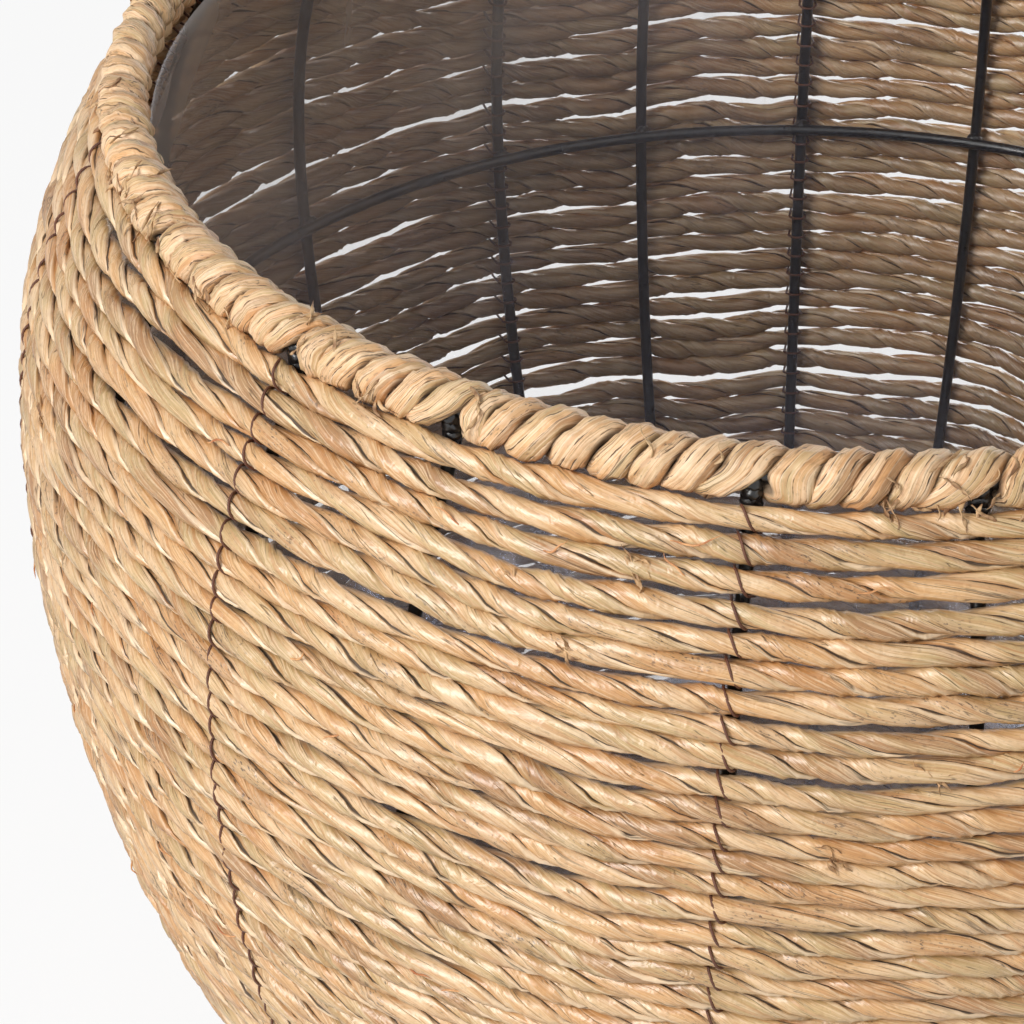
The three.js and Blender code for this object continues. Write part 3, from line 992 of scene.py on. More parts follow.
def base_rail(rope, lay):
    """The same rope carried on from the foot of the wall, ring inside ring, to the base's middle."""
    turns = lay.turns[-1]
    distance, depth, swell = lay.at(turns)
    start_radius, start_height = (float(value) for value in WALL.at(distance, depth))
    ring_pitch = 2 * rope.radius * BASE_PACKING
    rings = (start_radius - BASE_EYE) / ring_pitch
    way = np.linspace(0, rings, int(rings * BASE_POINTS_A_TURN))
    whole = np.floor(way)
    radius = start_radius - ring_pitch * (whole + smooth((way - whole) / CLIMB_SHARE))
    height = start_height + (rope.radius * BASE_LIFT - start_height) * smooth(way / CLIMB_SHARE)
    points = around(radius.clip(BASE_EYE), CLIMB_END + (turns + way) * TURN, height)
    generator = np.random.RandomState(rope.seed + 1)
    swells = 1 + (swell - 1) * smooth(1 - way) + 0.03 * wandering(generator, way, 1 / 12) * smooth(way)
    return points, swells


class BASKET_OT_rope_base(bpy.types.Operator):
    """Coils the end of the rope flat to close the bottom"""
    bl_idname = "basket.rope_base"
    bl_label = "Rope base"

    def execute(self, context):
        rope = context.scene.basket.rope
        lay = WallLay(rope)
        points, swell = base_rail(rope, lay)
        along = lay.rail()[1][-1] + lengths_along(points)
        rail = rail_object("base_coil", points, {"along": along, "swell": swell})
        tree, sizes = rope_tree(rope, bpy.data.materials["twisted leaf rope"])
        piece = grown(rail, tree, {**sizes, "Step": BASE_STEP, "Sides": BASE_SIDES})
        settle(piece, ["rope_base"])
        return {"FINISHED"}


# Rim

WRAP_AROUND = 44
WRAP_ACROSS = 26
WRAP_BANDS = 2
WRAP_START = math.radians(-165)

# The side of the rim, below its outside, at which the bundles part for a rib
PARTING_SIDE = math.radians(48)

# A bundle's width and height as shares of its room, how much they vary, and how far it wavers
BUNDLE_WIDTH = 1.04
WIDTH_VARIATION = 0.34
BUNDLE_HEIGHT = 1.66
HEIGHT_VARIATION = 1.1
DENT_HEIGHT = 1.1
FOLD_HEIGHT = 0.50
BUNDLE_WAVE = 2.6 * MM


def wrap_places(rim):
    """Azimuth, half width and parting side of each bundle, set out evenly between neighbouring ribs."""
    generator = np.random.RandomState(rim.seed)
    ribs = sorted(azimuth % TURN for azimuth in RIB_AZIMUTHS)
    azimuths, halves, sides = [], [], []
    for low, high in zip(ribs, ribs[1:] + [ribs[0] + TURN]):
        room = (high - low) * RIM_RADIUS
        count = max(2, round(room / rim.spacing))
        weights = generator.uniform(0.76, 1.24, count)
        widths = weights / weights.sum() * (high - low)
        middles = low + np.cumsum(widths) - widths / 2
        azimuths.extend(middles)
        halves.extend(widths * RIM_RADIUS / 2)
        sides.extend([1.0] + [0.0] * (count - 2) + [-1.0])
    return np.array(azimuths), np.array(halves), np.array(sides)


def wrap_tree(rim, material):
    """One bundle round the ring at each given place, slanting, plump and parted beside a rib."""
    sizes = {
        "Ring radius": "Float", "Ring height": "Float", "Core radius": "Float", "Thickness": "Float",
        "Advance": "Float", "Parting": "Float", "Around": "Int", "Across": "Int", "Seed": "Float",
    }
    tree, nodes, given = new_group("Wound bundles", sizes)
    grid = nodes.add("GeometryNodeMeshGrid", {}, {
        "Size X": 1.0, "Size Y": 1.0, "Vertices X": given["Around"], "Vertices Y": given["Across"],
    })
    x, y, _ = nodes.parts(nodes.add("GeometryNodeInputPosition"))
    grid = store(nodes, grid, "psi", (x + 0.5) * TURN + WRAP_START)
    beta = (y + 0.25) * TURN + 0.45 * (y * TURN).math("SINE")
    section = nodes.vector(beta.math("COSINE"), beta.math("SINE"), x + 0.5)
    grid = store(nodes, grid, "section", section, "FLOAT_VECTOR")
    points = nodes.add("GeometryNodeMeshToPoints", {}, {"Mesh": given["Geometry"]})
    copies = nodes.add("GeometryNodeInstanceOnPoints", {}, {"Points": points, "Instance": grid})
    mesh = nodes.add("GeometryNodeRealizeInstances", {}, {"Geometry": copies})

    psi = read(nodes, "psi")
    wide, thick, share = nodes.parts(read(nodes, "section", "FLOAT_VECTOR"))
    number = read(nodes, "number")
    side = read(nodes, "side")
    ends = (share.rising(0.0, 0.10) * share.rising(1.0, 0.90)) ** 0.5
    plump = nodes.noise(nodes.vector(number * 3.1, psi * 0.5, given["Seed"]), 1.0, 1.0)
    half = read(nodes, "half") * (BUNDLE_WIDTH + WIDTH_VARIATION * (plump - 0.5)) * ends
    share_over = ribbon_count(nodes, wide, psi, number) % 1.0
    fold = share_over.rising(0.0, 0.12) - 0.9 * share_over
    dent = nodes.noise(nodes.vector(wide * 1.7 + number * 5.0, psi * 1.5, given["Seed"] + 4.0), 1.0, 1.0)
    body = given["Thickness"] / 2
    outside = thick.rising(-0.1, 0.5)
    relief = (dent - 0.5) * DENT_HEIGHT + fold * FOLD_HEIGHT
    rise = thick * (BUNDLE_HEIGHT + (plump - 0.5) * HEIGHT_VARIATION) + relief * outside
    minor = given["Core radius"] + body * (0.55 + ends * rise)
    below = psi + PARTING_SIDE
    drop = below.math("COSINE").math("MAXIMUM", 0.0) ** 2.0
    shift = given["Advance"] * below / TURN + wide * half + side * given["Parting"] * drop
    wave = nodes.noise(nodes.vector(psi * 0.6, number * 2.3, given["Seed"]), 1.0, 0.0) - 0.5
    azimuth = read(nodes, "azimuth") + (shift + wave * BUNDLE_WAVE) / given["Ring radius"]
    out = given["Ring radius"] + minor * psi.math("COSINE")
    place = nodes.vector(
        out * azimuth.math("SINE"),
        -1.0 * out * azimuth.math("COSINE"),
        given["Ring height"] + minor * psi.math("SINE"),
    )
    mesh = nodes.add("GeometryNodeSetPosition", {}, {"Geometry": mesh, "Position": place})
    mesh = nodes.add("GeometryNodeMergeByDistance", {}, {"Geometry": mesh, "Distance": 0.02 * MM})
    end_group(nodes, mesh, material)
    return tree, {
        "Ring radius": RIM_RADIUS, "Ring height": RIM_HEIGHT, "Core radius": RIM_WIRE / 2,
        "Thickness": WRAP_THICKNESS, "Advance": rim.spacing * rim.slant, "Parting": rim.parting,
        "Around": WRAP_AROUND + 1, "Across": WRAP_ACROSS + 1, "Seed": float(rim.seed),
    }


class BASKET_OT_rim_wrap(bpy.types.Operator):
    """Winds bundles of shredded leaf round the top ring, parted where a rib comes up"""
    bl_idname = "basket.rim_wrap"
    bl_label = "Rim wrap"

    def execute(self, context):
        rim = context.scene.basket.rim
        material = wrap_material(rim)
        azimuths, halves, sides = wrap_places(rim)
        tree, sizes = wrap_tree(rim, material)
        bands = np.array_split(np.arange(len(azimuths)), WRAP_BANDS)
        for band, numbers in enumerate(bands, 1):
            mesh = bpy.data.meshes.new(f"wound_rim_{band}")
            places = around(RIM_RADIUS, azimuths[numbers], RIM_HEIGHT)
            mesh.from_pydata([tuple(place) for place in places], [], [])
            values = {
                "azimuth": azimuths[numbers], "half": halves[numbers],
                "side": sides[numbers], "number": numbers,
            }
            host = with_values(f"wound_rim_{band}", mesh, values)
            settle(grown(host, tree, sizes), ["rim_wrap"])
        return {"FINISHED"}


# Wire frame

WIRE_STEP = 5 * MM
WIRE_SIDES = 14
PAINT_LUMPS = 0.25 * MM

# Weld beads at the top of a rib: how far below the ring's underside, how far outside the ring's
# centre line, and how lumpy
WELD_RUN = (-1 * MM, 1.6 * MM, 4.4 * MM)
WELD_PROUD = 1.6 * MM
WELD_LUMPS = 3.4 * MM


def ring_rail(name, radius, height):
    azimuths = np.linspace(0, TURN, 360, endpoint=False)
    points = around(radius, azimuths, height)
    along = azimuths * radius
    return rail_object(name, points, {"along": along, "swell": np.ones(len(points))}, closed=True)


def line_rail(name, points):
    points = np.asarray(points, float)
    return rail_object(name, points, {"along": lengths_along(points), "swell": np.ones(len(points))})


def rib_points(azimuth):
    """The rib from the top ring's underside down the inside of the ropes to the base ring."""
    end = WALL.distance_at_height(LOWER_BAR_HEIGHT, RIB_DEPTH)
    radius, height = WALL.at(np.linspace(4 * MM, end, 70), RIB_DEPTH)
    top_radius = [RIM_RADIUS, RIM_RADIUS - 0.2 * MM]
    top_height = [RIM_HEIGHT - RIM_WIRE / 2, RIM_HEIGHT - RIM_WIRE / 2 - 3 * MM]
    return around(np.concatenate([top_radius, radius]), azimuth, np.concatenate([top_height, height]))


class BASKET_OT_wire_frame(bpy.types.Operator):
    """Bends the painted wires of the frame and lays a weld bead at each crossing"""
    bl_idname = "basket.wire_frame"
    bl_label = "Wire frame"

    def execute(self, context):
        wire = context.scene.basket.wire
        paint = paint_material(wire)
        tree, lumps = wire_tree("Painted wire", paint, PAINT_LUMPS)
        plain = {**lumps, "Step": WIRE_STEP, "Sides": WIRE_SIDES, "Radius": FRAME_WIRE / 2}
        for number, azimuth in enumerate(RIB_AZIMUTHS, 1):
            rail = line_rail(f"wire_rib_{number:02d}", rib_points(azimuth))
            settle(grown(rail, tree, plain), [f"rib_{number:02d}"])
        hoop_radius, _ = WALL.at(WALL.distance_at_height(HOOP_HEIGHT, HOOP_DEPTH), HOOP_DEPTH)
        low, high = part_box("base_ring")
        base_radius = (high.x - low.x - FRAME_WIRE) / 2
        rings = (
            ("wire_top_ring", "top_ring", RIM_RADIUS, RIM_HEIGHT, RIM_WIRE),
            ("wire_belly_hoop", "belly_hoop", float(hoop_radius), HOOP_HEIGHT, FRAME_WIRE),
            ("wire_base_ring", "base_ring", base_radius, LOWER_BAR_HEIGHT, FRAME_WIRE),
        )
        for name, node, radius, height, diameter in rings:
            ring = grown(ring_rail(name, radius, height), tree, {**plain, "Radius": diameter / 2})
            settle(ring, [node])
        for name, node in (("wire_bar_lower", "base_bar_lower"), ("wire_bar_upper", "base_bar_upper")):
            low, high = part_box(node)
            middle = (low + high) / 2
            reach = (high - low) / 2
            way = Vector((reach.x, 0, 0)) if reach.x > reach.y else Vector((0, reach.y, 0))
            points = [middle + way * share for share in np.linspace(-1, 1, 40)]
            settle(grown(line_rail(name, points), tree, plain), [node])
        self.lay_beads(wire, paint, float(hoop_radius))
        return {"FINISHED"}

    def lay_beads(self, wire, paint, hoop_radius):
        """Weld beads where the ribs cross the hoop and where they meet the top ring."""
        azimuths = np.array(RIB_AZIMUTHS)
        between = FRAME_WIRE / 2 + SEAT_GAP
        crossings = around(hoop_radius + between, azimuths, HOOP_HEIGHT)
        proud = RIM_RADIUS + WELD_PROUD
        tops = [around(proud, azimuths, RIM_HEIGHT - RIM_WIRE / 2 - down) for down in WELD_RUN]
        mesh = bpy.data.meshes.new("weld_beads")
        mesh.from_pydata([tuple(p) for p in np.vstack([crossings, *tops])], [], [])
        tree, nodes, given = new_group("Weld beads", {"Radius": "Float"})
        points = nodes.add("GeometryNodeMeshToPoints", {}, {"Mesh": given["Geometry"]})
        bead = nodes.add("GeometryNodeMeshIcoSphere", {}, {"Radius": given["Radius"], "Subdivisions": 3})
        beads = nodes.add("GeometryNodeInstanceOnPoints", {}, {"Points": points, "Instance": bead})
        beads = nodes.add("GeometryNodeRealizeInstances", {}, {"Geometry": beads})
        lump = nodes.noise(nodes.add("GeometryNodeInputPosition"), 520.0, 3.0, 0.6)
        push = nodes.scaled(nodes.add("GeometryNodeInputNormal"), (lump - 0.60) * WELD_LUMPS)
        beads = nodes.add("GeometryNodeSetPosition", {}, {"Geometry": beads, "Offset": push})
        end_group(nodes, beads, paint)
        settle(grown(with_values("weld_beads", mesh, {}), tree, {"Radius": wire.bead}))


# Stitches

STITCH_STEP = 1.3 * MM
STITCH_SIDES = 6
THREAD_LUMPS = 0.05 * MM
THREAD_SPREAD = 3.4 * MM


def course_turns(azimuth):
    """The turn counts at which the rope passes an azimuth, one for each course."""
    first = ((azimuth - CLIMB_END) % TURN) / TURN
    return np.arange(COURSES) + first


def stitch_points(azimuth, lay, rope_radius, thread, lean):
    """Thread over each rope and round the rib behind it, from the first course to the last."""
    points = []
    over = np.radians(np.linspace(75, -75, 7))
    behind = RIB_DEPTH + FRAME_WIRE / 2 + thread * 0.6
    turns = course_turns(azimuth)
    for turn, next_turn in zip(turns[:-1], turns[1:]):
        centre, middle_depth, swell = lay.at(turn)
        clear = rope_radius * swell + thread * 0.2
        for number, angle in enumerate(over):
            share = number / (len(over) - 1)
            depth = middle_depth - clear * math.cos(angle)
            radius, height = WALL.at(centre - clear * math.sin(angle), depth)
            points.append(around(radius, azimuth + (share - 0.5) * lean / radius, height))
        below = (centre + lay.at(next_turn)[0]) / 2
        for depth, aside in ((RIB_DEPTH, 0.9), (behind, 0.45), (behind, -0.45), (RIB_DEPTH, -0.9)):
            radius, height = WALL.at(below, depth)
            points.append(around(radius, azimuth + aside * THREAD_SPREAD / radius, height))
    return np.array(points)


class BASKET_OT_stitches(bpy.types.Operator):
    """Sews a column of thread over the ropes at every second rib"""
    bl_idname = "basket.stitches"
    bl_label = "Stitches"

    def execute(self, context):
        rope = context.scene.basket.rope
        wire = context.scene.basket.wire
        lay = WallLay(rope)
        tree, lumps = wire_tree("Sewing thread", thread_material(), THREAD_LUMPS)
        sizes = {**lumps, "Step": STITCH_STEP, "Sides": STITCH_SIDES, "Radius": wire.thread / 2}
        for number, azimuth in enumerate(STITCHED_RIBS, 1):
            points = stitch_points(azimuth, lay, rope.radius, wire.thread, wire.stitch_lean)
            rail = line_rail(f"sewn_column_{number:02d}", points)
            settle(grown(rail, tree, sizes), [f"stitch_column_{number:02d}"])
        return {"FINISHED"}


# Loose leaf

# Fibres and knots that have worked loose: azimuth in degrees, height and length in millimetres
FIBRE_SPOTS = (
    (-9.6, 343, 14), (-8.4, 342, 8), (-23.4, 335, 9),
    (-33.7, 290, 8), (4.4, 341, 10), (-42.1, 335, 9),
)
KNOT_SPOTS = ((-19.3, 332, 4), (-11.2, 338, 7), (7.2, 294, 6), (1.7, 273, 6))

# Azimuths of torn ends that hang from the rim and of ones that curl off it, in degrees
RIM_SPOTS = (-61.9, 3.4, 5.6, 7.8, 9.4, 10.7, 13.5)
CURL_SPOTS = (-71, -69, -67, -65.5, -64, -63, -62, -61, -60, -58.5, -57, -55, -24, 6.4, 10.9, 12)

# Loose pieces all round the basket, placed by chance
STRAY_CURLS = 60
STRAY_FIBRES = 70
STRAY_KNOTS = 12
STRAY_RIM_SCRAPS = 26
FIBRE_RADIUS = 0.28 * MM
SCRAP_HALF_WIDTH = 0.55 * MM
SCRAP_FLATNESS = 0.25
SCRAP_POINTS = 12
SCRAP_STEP = 0.7 * MM
SCRAP_SIDES = 6
KNOT_STRIPS = 7
KNOT_LIFT = 0.7 * MM
FIBRE_LIFT = 0.1 * MM


def scrap_line(generator, azimuth, distance, lift, length, lean, rise):
    """A short curly line that leaves the rope, stands off it, and may come back."""
    share = np.linspace(0, 1, SCRAP_POINTS)
    curl = lean + 1.3 * share * generator.uniform(-1, 1) + 0.35 * np.sin(share * generator.uniform(4, 9))
    step = length / (SCRAP_POINTS - 1)
    along = np.concatenate([[0], np.cumsum(np.cos(curl[1:]) * step)])
    down = np.concatenate([[0], np.cumsum(np.sin(curl[1:]) * step)])
    depth = lift - rise * np.sin(share * math.pi * generator.uniform(0.5, 0.95))
    radius, height = WALL.at(distance + down, depth)
    return around(radius, azimuth + along / radius, height)


def lines_object(name, lines):
    """One mesh of separate lines that are thickest in the middle."""
    points, edges, swell = [], [], []
    for line in lines:
        start = len(points)
        points.extend(tuple(p) for p in line)
        edges.extend((start + i, start + i + 1) for i in range(len(line) - 1))
        swell.extend(np.interp(np.linspace(0, 1, len(line)), [0, 0.2, 0.7, 1], [0.5, 1.1, 1.0, 0.15]))
    mesh = bpy.data.meshes.new(name)
    mesh.from_pydata(points, edges, [])
    return with_values(name, mesh, {"swell": swell})


def scrap_tree(material, flatness):
    """Narrow strips, flat or round, twisted at random, along their lines."""
    tree, nodes, given = new_group("Leaf scraps", SWEEP_SIZES)
    curve = rail_curve(nodes, given)
    twist = nodes.noise(nodes.add("GeometryNodeInputPosition"), 160.0, 1.0)
    curve = nodes.add("GeometryNodeSetCurveTilt", {}, {"Curve": curve, "Tilt": twist * 14.0})
    inputs = {"Geometry": round_section(nodes, given), "Scale": (1.0, flatness, 1.0)}
    section = nodes.add("GeometryNodeTransform", {}, inputs)
    mesh = sweep(nodes, given, curve, section)
    ragged = nodes.noise(nodes.add("GeometryNodeInputPosition"), 900.0, 2.0)
    end_group(nodes, swollen(nodes, mesh, 0.55 + 0.9 * ragged), material)
    return tree


class BASKET_OT_loose_leaf(bpy.types.Operator):
    """Adds the reddish fibres, the knots and the torn ends that stand off the leaf"""
    bl_idname = "basket.loose_leaf"
    bl_label = "Loose leaf"

    def execute(self, context):
        basket = context.scene.basket
        generator = np.random.RandomState(basket.rope.seed + 20)
        ropes = WallLay(basket.rope)
        fibres, knots = [], []
        for azimuth, height, length in FIBRE_SPOTS:
            fibres.append(self.fibre(generator, ropes, math.radians(azimuth), height * MM, length * MM))
        for azimuth, height, length in KNOT_SPOTS:
            knots.extend(self.knot(generator, ropes, math.radians(azimuth), height * MM, length * MM))
        for _ in range(STRAY_FIBRES):
            height = RIM_HEIGHT * generator.uniform(0.12, 0.97)
            fibres.append(self.fibre(generator, ropes, generator.uniform(0, TURN), height,
                                     generator.uniform(4, 10) * MM))
        for _ in range(STRAY_KNOTS):
            height = RIM_HEIGHT * generator.uniform(0.15, 0.95)
            knots.extend(self.knot(generator, ropes, generator.uniform(0, TURN), height,
                                   generator.uniform(4, 8) * MM))
        spots = [math.radians(a) for a in RIM_SPOTS] + list(generator.uniform(0, TURN, STRAY_RIM_SCRAPS))
        scraps = [line for azimuth in spots for line in self.rim_tuft(generator, azimuth)]
        spots = [math.radians(a) for a in CURL_SPOTS] + list(generator.uniform(0, TURN, STRAY_CURLS))
        scraps += [self.rim_curl(generator, azimuth) for azimuth in spots]
        red = scrap_material("reddish leaf fibre", (0.42, 0.14, 0.05), (0.74, 0.40, 0.18))
        brown = scrap_material("brown leaf knot", (0.20, 0.10, 0.045), (0.58, 0.36, 0.18))
        torn = scrap_material("torn leaf end", (0.24, 0.12, 0.055), (0.62, 0.42, 0.23))
        for name, lines, material, flatness, radius, slot in (
            ("loose_fibres", fibres, red, 1.0, FIBRE_RADIUS, "leaf_rope"),
            ("leaf_knots", knots, brown, SCRAP_FLATNESS, SCRAP_HALF_WIDTH, "leaf_rope"),
            ("rim_scraps", scraps, torn, SCRAP_FLATNESS, SCRAP_HALF_WIDTH, "leaf_wrap"),
        ):
            sizes = {"Radius": radius, "Step": SCRAP_STEP, "Sides": SCRAP_SIDES}
            settle(grown(lines_object(name, lines), scrap_tree(material, flatness), sizes))
        return {"FINISHED"}

    @staticmethod
    def rope_top(ropes, azimuth, height):
        """Distance below the mouth of the course nearest to a height, at an azimuth."""
        wanted = WALL.distance_at_height(height, 0.0)
        distances = [ropes.at(turn)[0] for turn in course_turns(azimuth)]
        return min(distances, key=lambda distance: abs(distance - wanted))

    def fibre(self, generator, ropes, azimuth, height, length):
        distance = self.rope_top(ropes, azimuth, height)
        lean = generator.uniform(-0.7, 0.5) + math.pi * generator.randint(0, 2)
        rise = generator.uniform(0.6, 2.0) * MM
        return scrap_line(generator, azimuth, distance, FIBRE_LIFT, length, lean, rise)

    def knot(self, generator, ropes, azimuth, height, length):
        distance = self.rope_top(ropes, azimuth, height)
        lines = []
        for _ in range(KNOT_STRIPS):
            aside = generator.uniform(-0.35, 0.35) * length / WALL.at(distance, 0.0)[0]
            down = generator.uniform(-1.5, 1.5) * MM
            reach = length * generator.uniform(0.5, 1.0)
            lean = generator.uniform(0.1, 0.9) + math.pi * generator.randint(0, 2)
            rise = generator.uniform(0.1, 0.6) * MM
            start = distance + down
            lines.append(scrap_line(generator, azimuth + aside, start, KNOT_LIFT, reach, lean, rise))
        return lines

    def rim_curl(self, generator, azimuth):
        """A torn end that stands off a bundle's outer or upper side."""
        share = np.linspace(0, 1, SCRAP_POINTS)
        length = generator.uniform(5, 11) * MM
        minor = RIM_WIRE / 2 + WRAP_THICKNESS * 1.25
        lean = generator.uniform(-0.9, 0.9)
        start = generator.uniform(-0.3, 1.5)
        psi = start + share * length / minor * math.cos(lean) * generator.choice([-1, 1])
        aside = length * math.sin(lean) * share + 1.2 * MM * np.sin(share * generator.uniform(2, 6))
        stand = minor + generator.uniform(0.6, 2.4) * MM * share ** 2
        radius = RIM_RADIUS + stand * np.cos(psi)
        return around(radius, azimuth + aside / RIM_RADIUS, RIM_HEIGHT + stand * np.sin(psi))

    def rim_tuft(self, generator, azimuth):
        """Torn ends that hang out of the winding, under its outer side."""
        lines = []
        for _ in range(generator.randint(2, 5)):
            aside = generator.uniform(-3, 3) * MM / RIM_RADIUS
            distance = generator.uniform(-4, -1) * MM
            lift = generator.uniform(1.0, 3.0) * MM
            length = generator.uniform(5, 10) * MM
            lean = generator.uniform(0.2, 2.6)
            rise = generator.uniform(0.4, 2.0) * MM
            lines.append(scrap_line(generator, azimuth + aside, distance, lift, length, lean, rise))
        return lines


# Film liner

FILM_AROUND = 320
FILM_ROWS = 64
FILM_FLOOR_ROWS = 12
FILM_LIP = 6 * MM
PLEATS = 26
RIPPLES = 14


def film_folds(generator, azimuths, rows, depth):
    """Pleats that run down from the mouth and slanting creases, all standing in from the frame."""
    folds = np.zeros((len(rows), len(azimuths)))
    for _ in range(PLEATS):
        middle = generator.uniform(0, TURN)
        width = generator.uniform(0.03, 0.11)
        slope = generator.uniform(-0.25, 0.25)
        height = generator.uniform(0.25, 1.0)
        fade = generator.uniform(0.5, 1.4)
        apart = (azimuths[None, :] - middle - slope * rows[:, None] + math.pi) % TURN - math.pi
        ridge = np.maximum(0, 1 - np.abs(apart) / width) ** 1.5
        folds += depth * height * ridge * np.exp(-rows[:, None] * fade)
    ripple = np.zeros_like(folds)
    for _ in range(RIPPLES):
        wave = generator.randint(3, 22)
        rise = generator.uniform(2, 14)
        start = generator.uniform(0, TURN)
        ripple += np.cos(wave * azimuths[None, :] + rise * rows[:, None] + start) / RIPPLES
    return folds + depth * 0.6 * (ripple + 0.5).clip(0)


def film_mesh(film):
    """The liner as a sheet from its lip under the rim wrap, down the frame and over the floor."""
    generator = np.random.RandomState(film.seed)
    azimuths = np.linspace(0, TURN, FILM_AROUND, endpoint=False)
    end = WALL.distance_at_height(LINER_FLOOR + 4 * MM, LINER_DEPTH)
    rows = np.linspace(0, 1, FILM_ROWS)
    folds = film_folds(generator, azimuths, rows, film.pleat)
    folds *= smooth(rows * 12)[:, None] * smooth((1 - rows) * 8)[:, None]
    radius, height = WALL.at((rows * end)[:, None], LINER_DEPTH + SEAT_GAP + folds)
    lip_radius, lip_height = WALL.at(0.0, LINER_DEPTH + SEAT_GAP)
    lip = around(np.full((1, 1), float(lip_radius)), azimuths[None, :], float(lip_height) + FILM_LIP)
    floor_share = np.linspace(1, 0, FILM_FLOOR_ROWS + 1)[1:-1]
    edge_radius = float(radius[-1].mean())
    floor = around((edge_radius * floor_share)[:, None], azimuths[None, :], LINER_FLOOR + SEAT_GAP)
    grid = np.concatenate([lip, around(radius, azimuths[None, :], height), floor])
    count = len(grid)
    vertices = [tuple(p) for p in grid.reshape(-1, 3)] + [(0.0, 0.0, LINER_FLOOR + SEAT_GAP)]
    faces = []
    for row in range(count - 1):
        for i in range(FILM_AROUND):
            j = (i + 1) % FILM_AROUND
            upper, lower = row * FILM_AROUND, (row + 1) * FILM_AROUND
            faces.append((upper + i, lower + i, lower + j, upper + j))
    last = (count - 1) * FILM_AROUND
    for i in range(FILM_AROUND):
        faces.append((last + i, len(vertices) - 1, last + (i + 1) % FILM_AROUND))
    mesh = bpy.data.meshes.new("clear_liner")
    mesh.from_pydata(vertices, [], faces)
    mesh.polygons.foreach_set("use_smooth", [True] * len(mesh.polygons))
    return mesh


class BASKET_OT_film_liner(bpy.types.Operator):
    """Lines the basket with creased clear film, its edge caught under the rim wrap"""
    bl_idname = "basket.film_liner"
    bl_label = "Film liner"

    def execute(self, context):
        film = context.scene.basket.film
        mesh = film_mesh(film)
        mesh.materials.append(film_material())
        piece = bpy.data.objects.new("clear_liner", mesh)
        context.scene.collection.objects.link(piece)
        wall = piece.modifiers.new("Wall", "SOLIDIFY")
        wall.thickness = film.thickness
        wall.offset = 0
        settle(piece, ["film_liner"])
        return {"FINISHED"}


# Stage

def camera_directions():
    """Where the camera stands and its right, up and forward directions."""
    rise = math.radians(CAMERA_RISE)
    distance = CAMERA_DISTANCE * RIM_RADIUS
    aim = Vector((0, 0, RIM_HEIGHT))
    stand = aim + distance * Vector((0, -math.cos(rise), math.sin(rise)))
    forward = (aim - stand).normalized()
    right = Vector((1, 0, 0))
    pan = Matrix.Rotation(math.radians(CAMERA_PAN), 3, "Z")
    forward, right = pan @ forward, pan @ right
    forward = Matrix.Rotation(math.radians(CAMERA_TILT), 3, right) @ forward
    right = Matrix.Rotation(math.radians(CAMERA_ROLL), 3, forward) @ right
    return stand, right, right.cross(forward), forward


def add_camera():
    stand, right, up, forward = camera_directions()
    data = bpy.data.cameras.new("photograph camera")
    data.sensor_width = SENSOR_MM
    data.lens = FOCAL_PIXELS / IMAGE_PIXELS * SENSOR_MM
    data.clip_start = 0.01
    camera = bpy.data.objects.new("photograph camera", data)
    turn = Matrix((right, up, -forward)).transposed()
    camera.matrix_world = Matrix.Translation(stand) @ turn.to_4x4()
    bpy.context.scene.collection.objects.link(camera)
    bpy.context.scene.camera = camera


def add_softbox(name, place, size, watts, colour):
    data = bpy.data.lights.new(name, "AREA")
    data.shape = "RECTANGLE"
    data.size, data.size_y = size
    data.energy = watts
    data.color = colour
    lamp = bpy.data.objects.new(name, data)
    lamp.location = place
    lamp.rotation_euler = (Vector(LAMP_AIM) - Vector(place)).to_track_quat("-Z", "Y").to_euler()
    bpy.context.scene.collection.objects.link(lamp)


def seen_directly(nodes):
    """1 for what the camera sees straight, in a mirror finish or through glass."""
    total = None
    for ray in ("Is Camera Ray", "Is Glossy Ray", "Is Transmission Ray"):
        flag = nodes.add("ShaderNodeLightPath", {}, {}, ray)
        total = flag if total is None else total.math("MAXIMUM", flag)
    return total


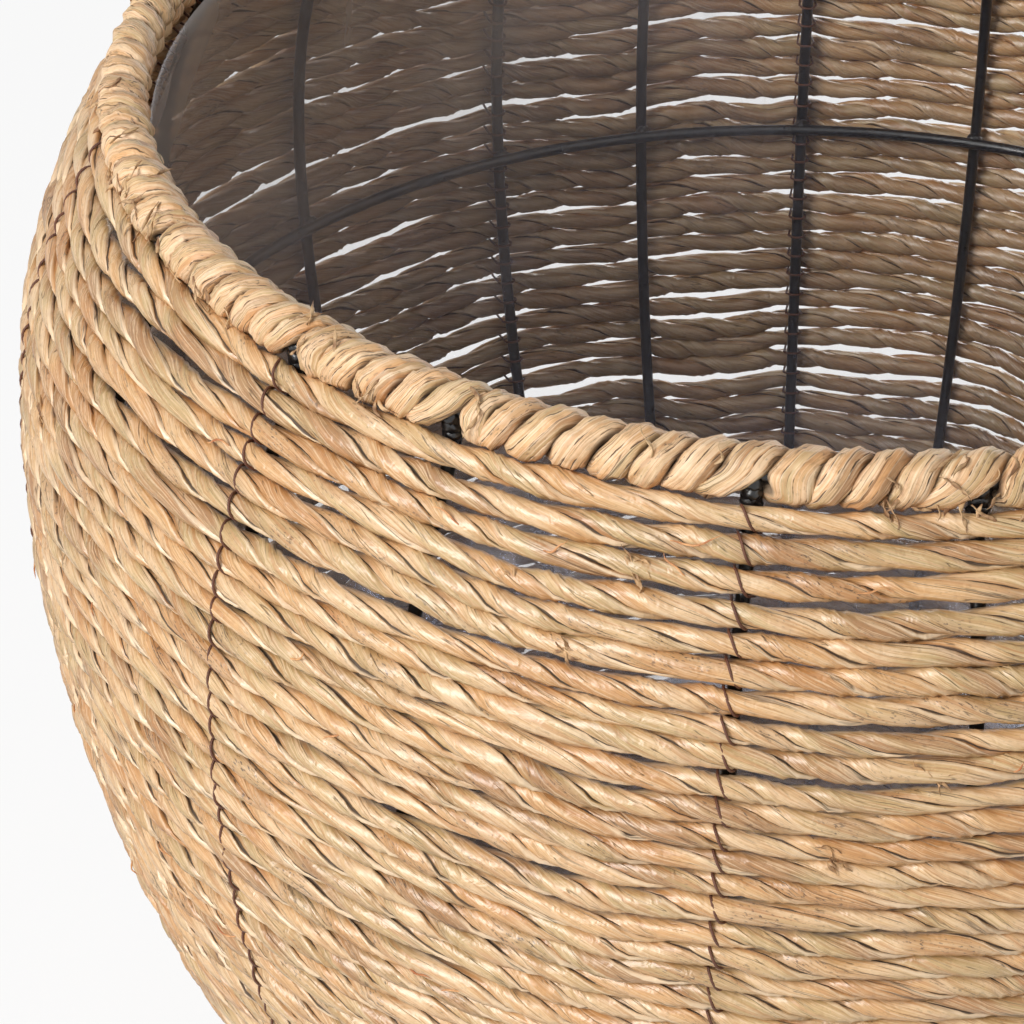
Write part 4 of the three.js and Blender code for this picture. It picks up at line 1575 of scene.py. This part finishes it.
def add_floor():
    mesh = bpy.data.meshes.new("pale floor")
    reach = FLOOR_REACH
    corners = [(-reach, -reach, 0), (reach, -reach, 0), (reach, reach, 0), (-reach, reach, 0)]
    mesh.from_pydata(corners, [], [(0, 1, 2, 3)])
    floor = bpy.data.objects.new("pale floor", mesh)
    bpy.context.scene.collection.objects.link(floor)
    material, nodes = new_material("pale floor")
    plain = nodes.add("ShaderNodeBsdfDiffuse", {}, {"Color": FLOOR_COLOUR})
    bright = nodes.add("ShaderNodeEmission", {}, {"Color": WHITE, "Strength": 1.0})
    share = seen_directly(nodes) * FLOOR_BRIGHTNESS
    finish_material(nodes, nodes.add("ShaderNodeMixShader", {}, [share, plain, bright]))
    mesh.materials.append(material)


def add_world():
    world = bpy.data.worlds.new("white studio")
    world.use_nodes = True
    world.node_tree.nodes.clear()
    nodes = Nodes(world.node_tree)
    strength = WORLD_LIGHT + seen_directly(nodes) * (1.0 - WORLD_LIGHT)
    sky = nodes.add("ShaderNodeBackground", {}, {"Color": WHITE, "Strength": strength})
    out = world.node_tree.nodes.new("ShaderNodeOutputWorld")
    world.node_tree.links.new(sky.socket, out.inputs["Surface"])
    bpy.context.scene.world = world


class BASKET_OT_stage(bpy.types.Operator):
    """Adds the floor, the soft lamps and the camera"""
    bl_idname = "basket.stage"
    bl_label = "Stage"

    def execute(self, context):
        context.scene.view_settings.view_transform = "Standard"
        add_camera()
        add_floor()
        add_world()
        for name, lamp in LAMPS.items():
            add_softbox(name, *lamp)
        return {"FINISHED"}


# Panel and registration

OPERATORS = (
    BASKET_OT_stage,
    BASKET_OT_rope_wall,
    BASKET_OT_rope_base,
    BASKET_OT_rim_wrap,
    BASKET_OT_wire_frame,
    BASKET_OT_stitches,
    BASKET_OT_loose_leaf,
    BASKET_OT_film_liner,
)


class BASKET_PT_panel(bpy.types.Panel):
    """Lists the basket's pieces in the order in which they are made"""
    bl_idname = "BASKET_PT_panel"
    bl_label = "Rope planter basket"
    bl_space_type = "VIEW_3D"
    bl_region_type = "UI"
    bl_category = "Basket"

    def draw(self, context):
        for operator in OPERATORS:
            self.layout.operator(operator.bl_idname)


SETTINGS = (RopeSettings, RimSettings, WireSettings, FilmSettings, BasketSettings)
CLASSES = (*SETTINGS, *OPERATORS, BASKET_PT_panel)


def register():
    for item in CLASSES:
        bpy.utils.register_class(item)
    bpy.types.Scene.basket = PointerProperty(type=BasketSettings)


def unregister():
    del bpy.types.Scene.basket
    for item in reversed(CLASSES):
        bpy.utils.unregister_class(item)


def main():
    register()
    for operator in OPERATORS:
        group, name = operator.bl_idname.split(".")
        getattr(getattr(bpy.ops, group), name)()


if __name__ == "__main__":
    main()
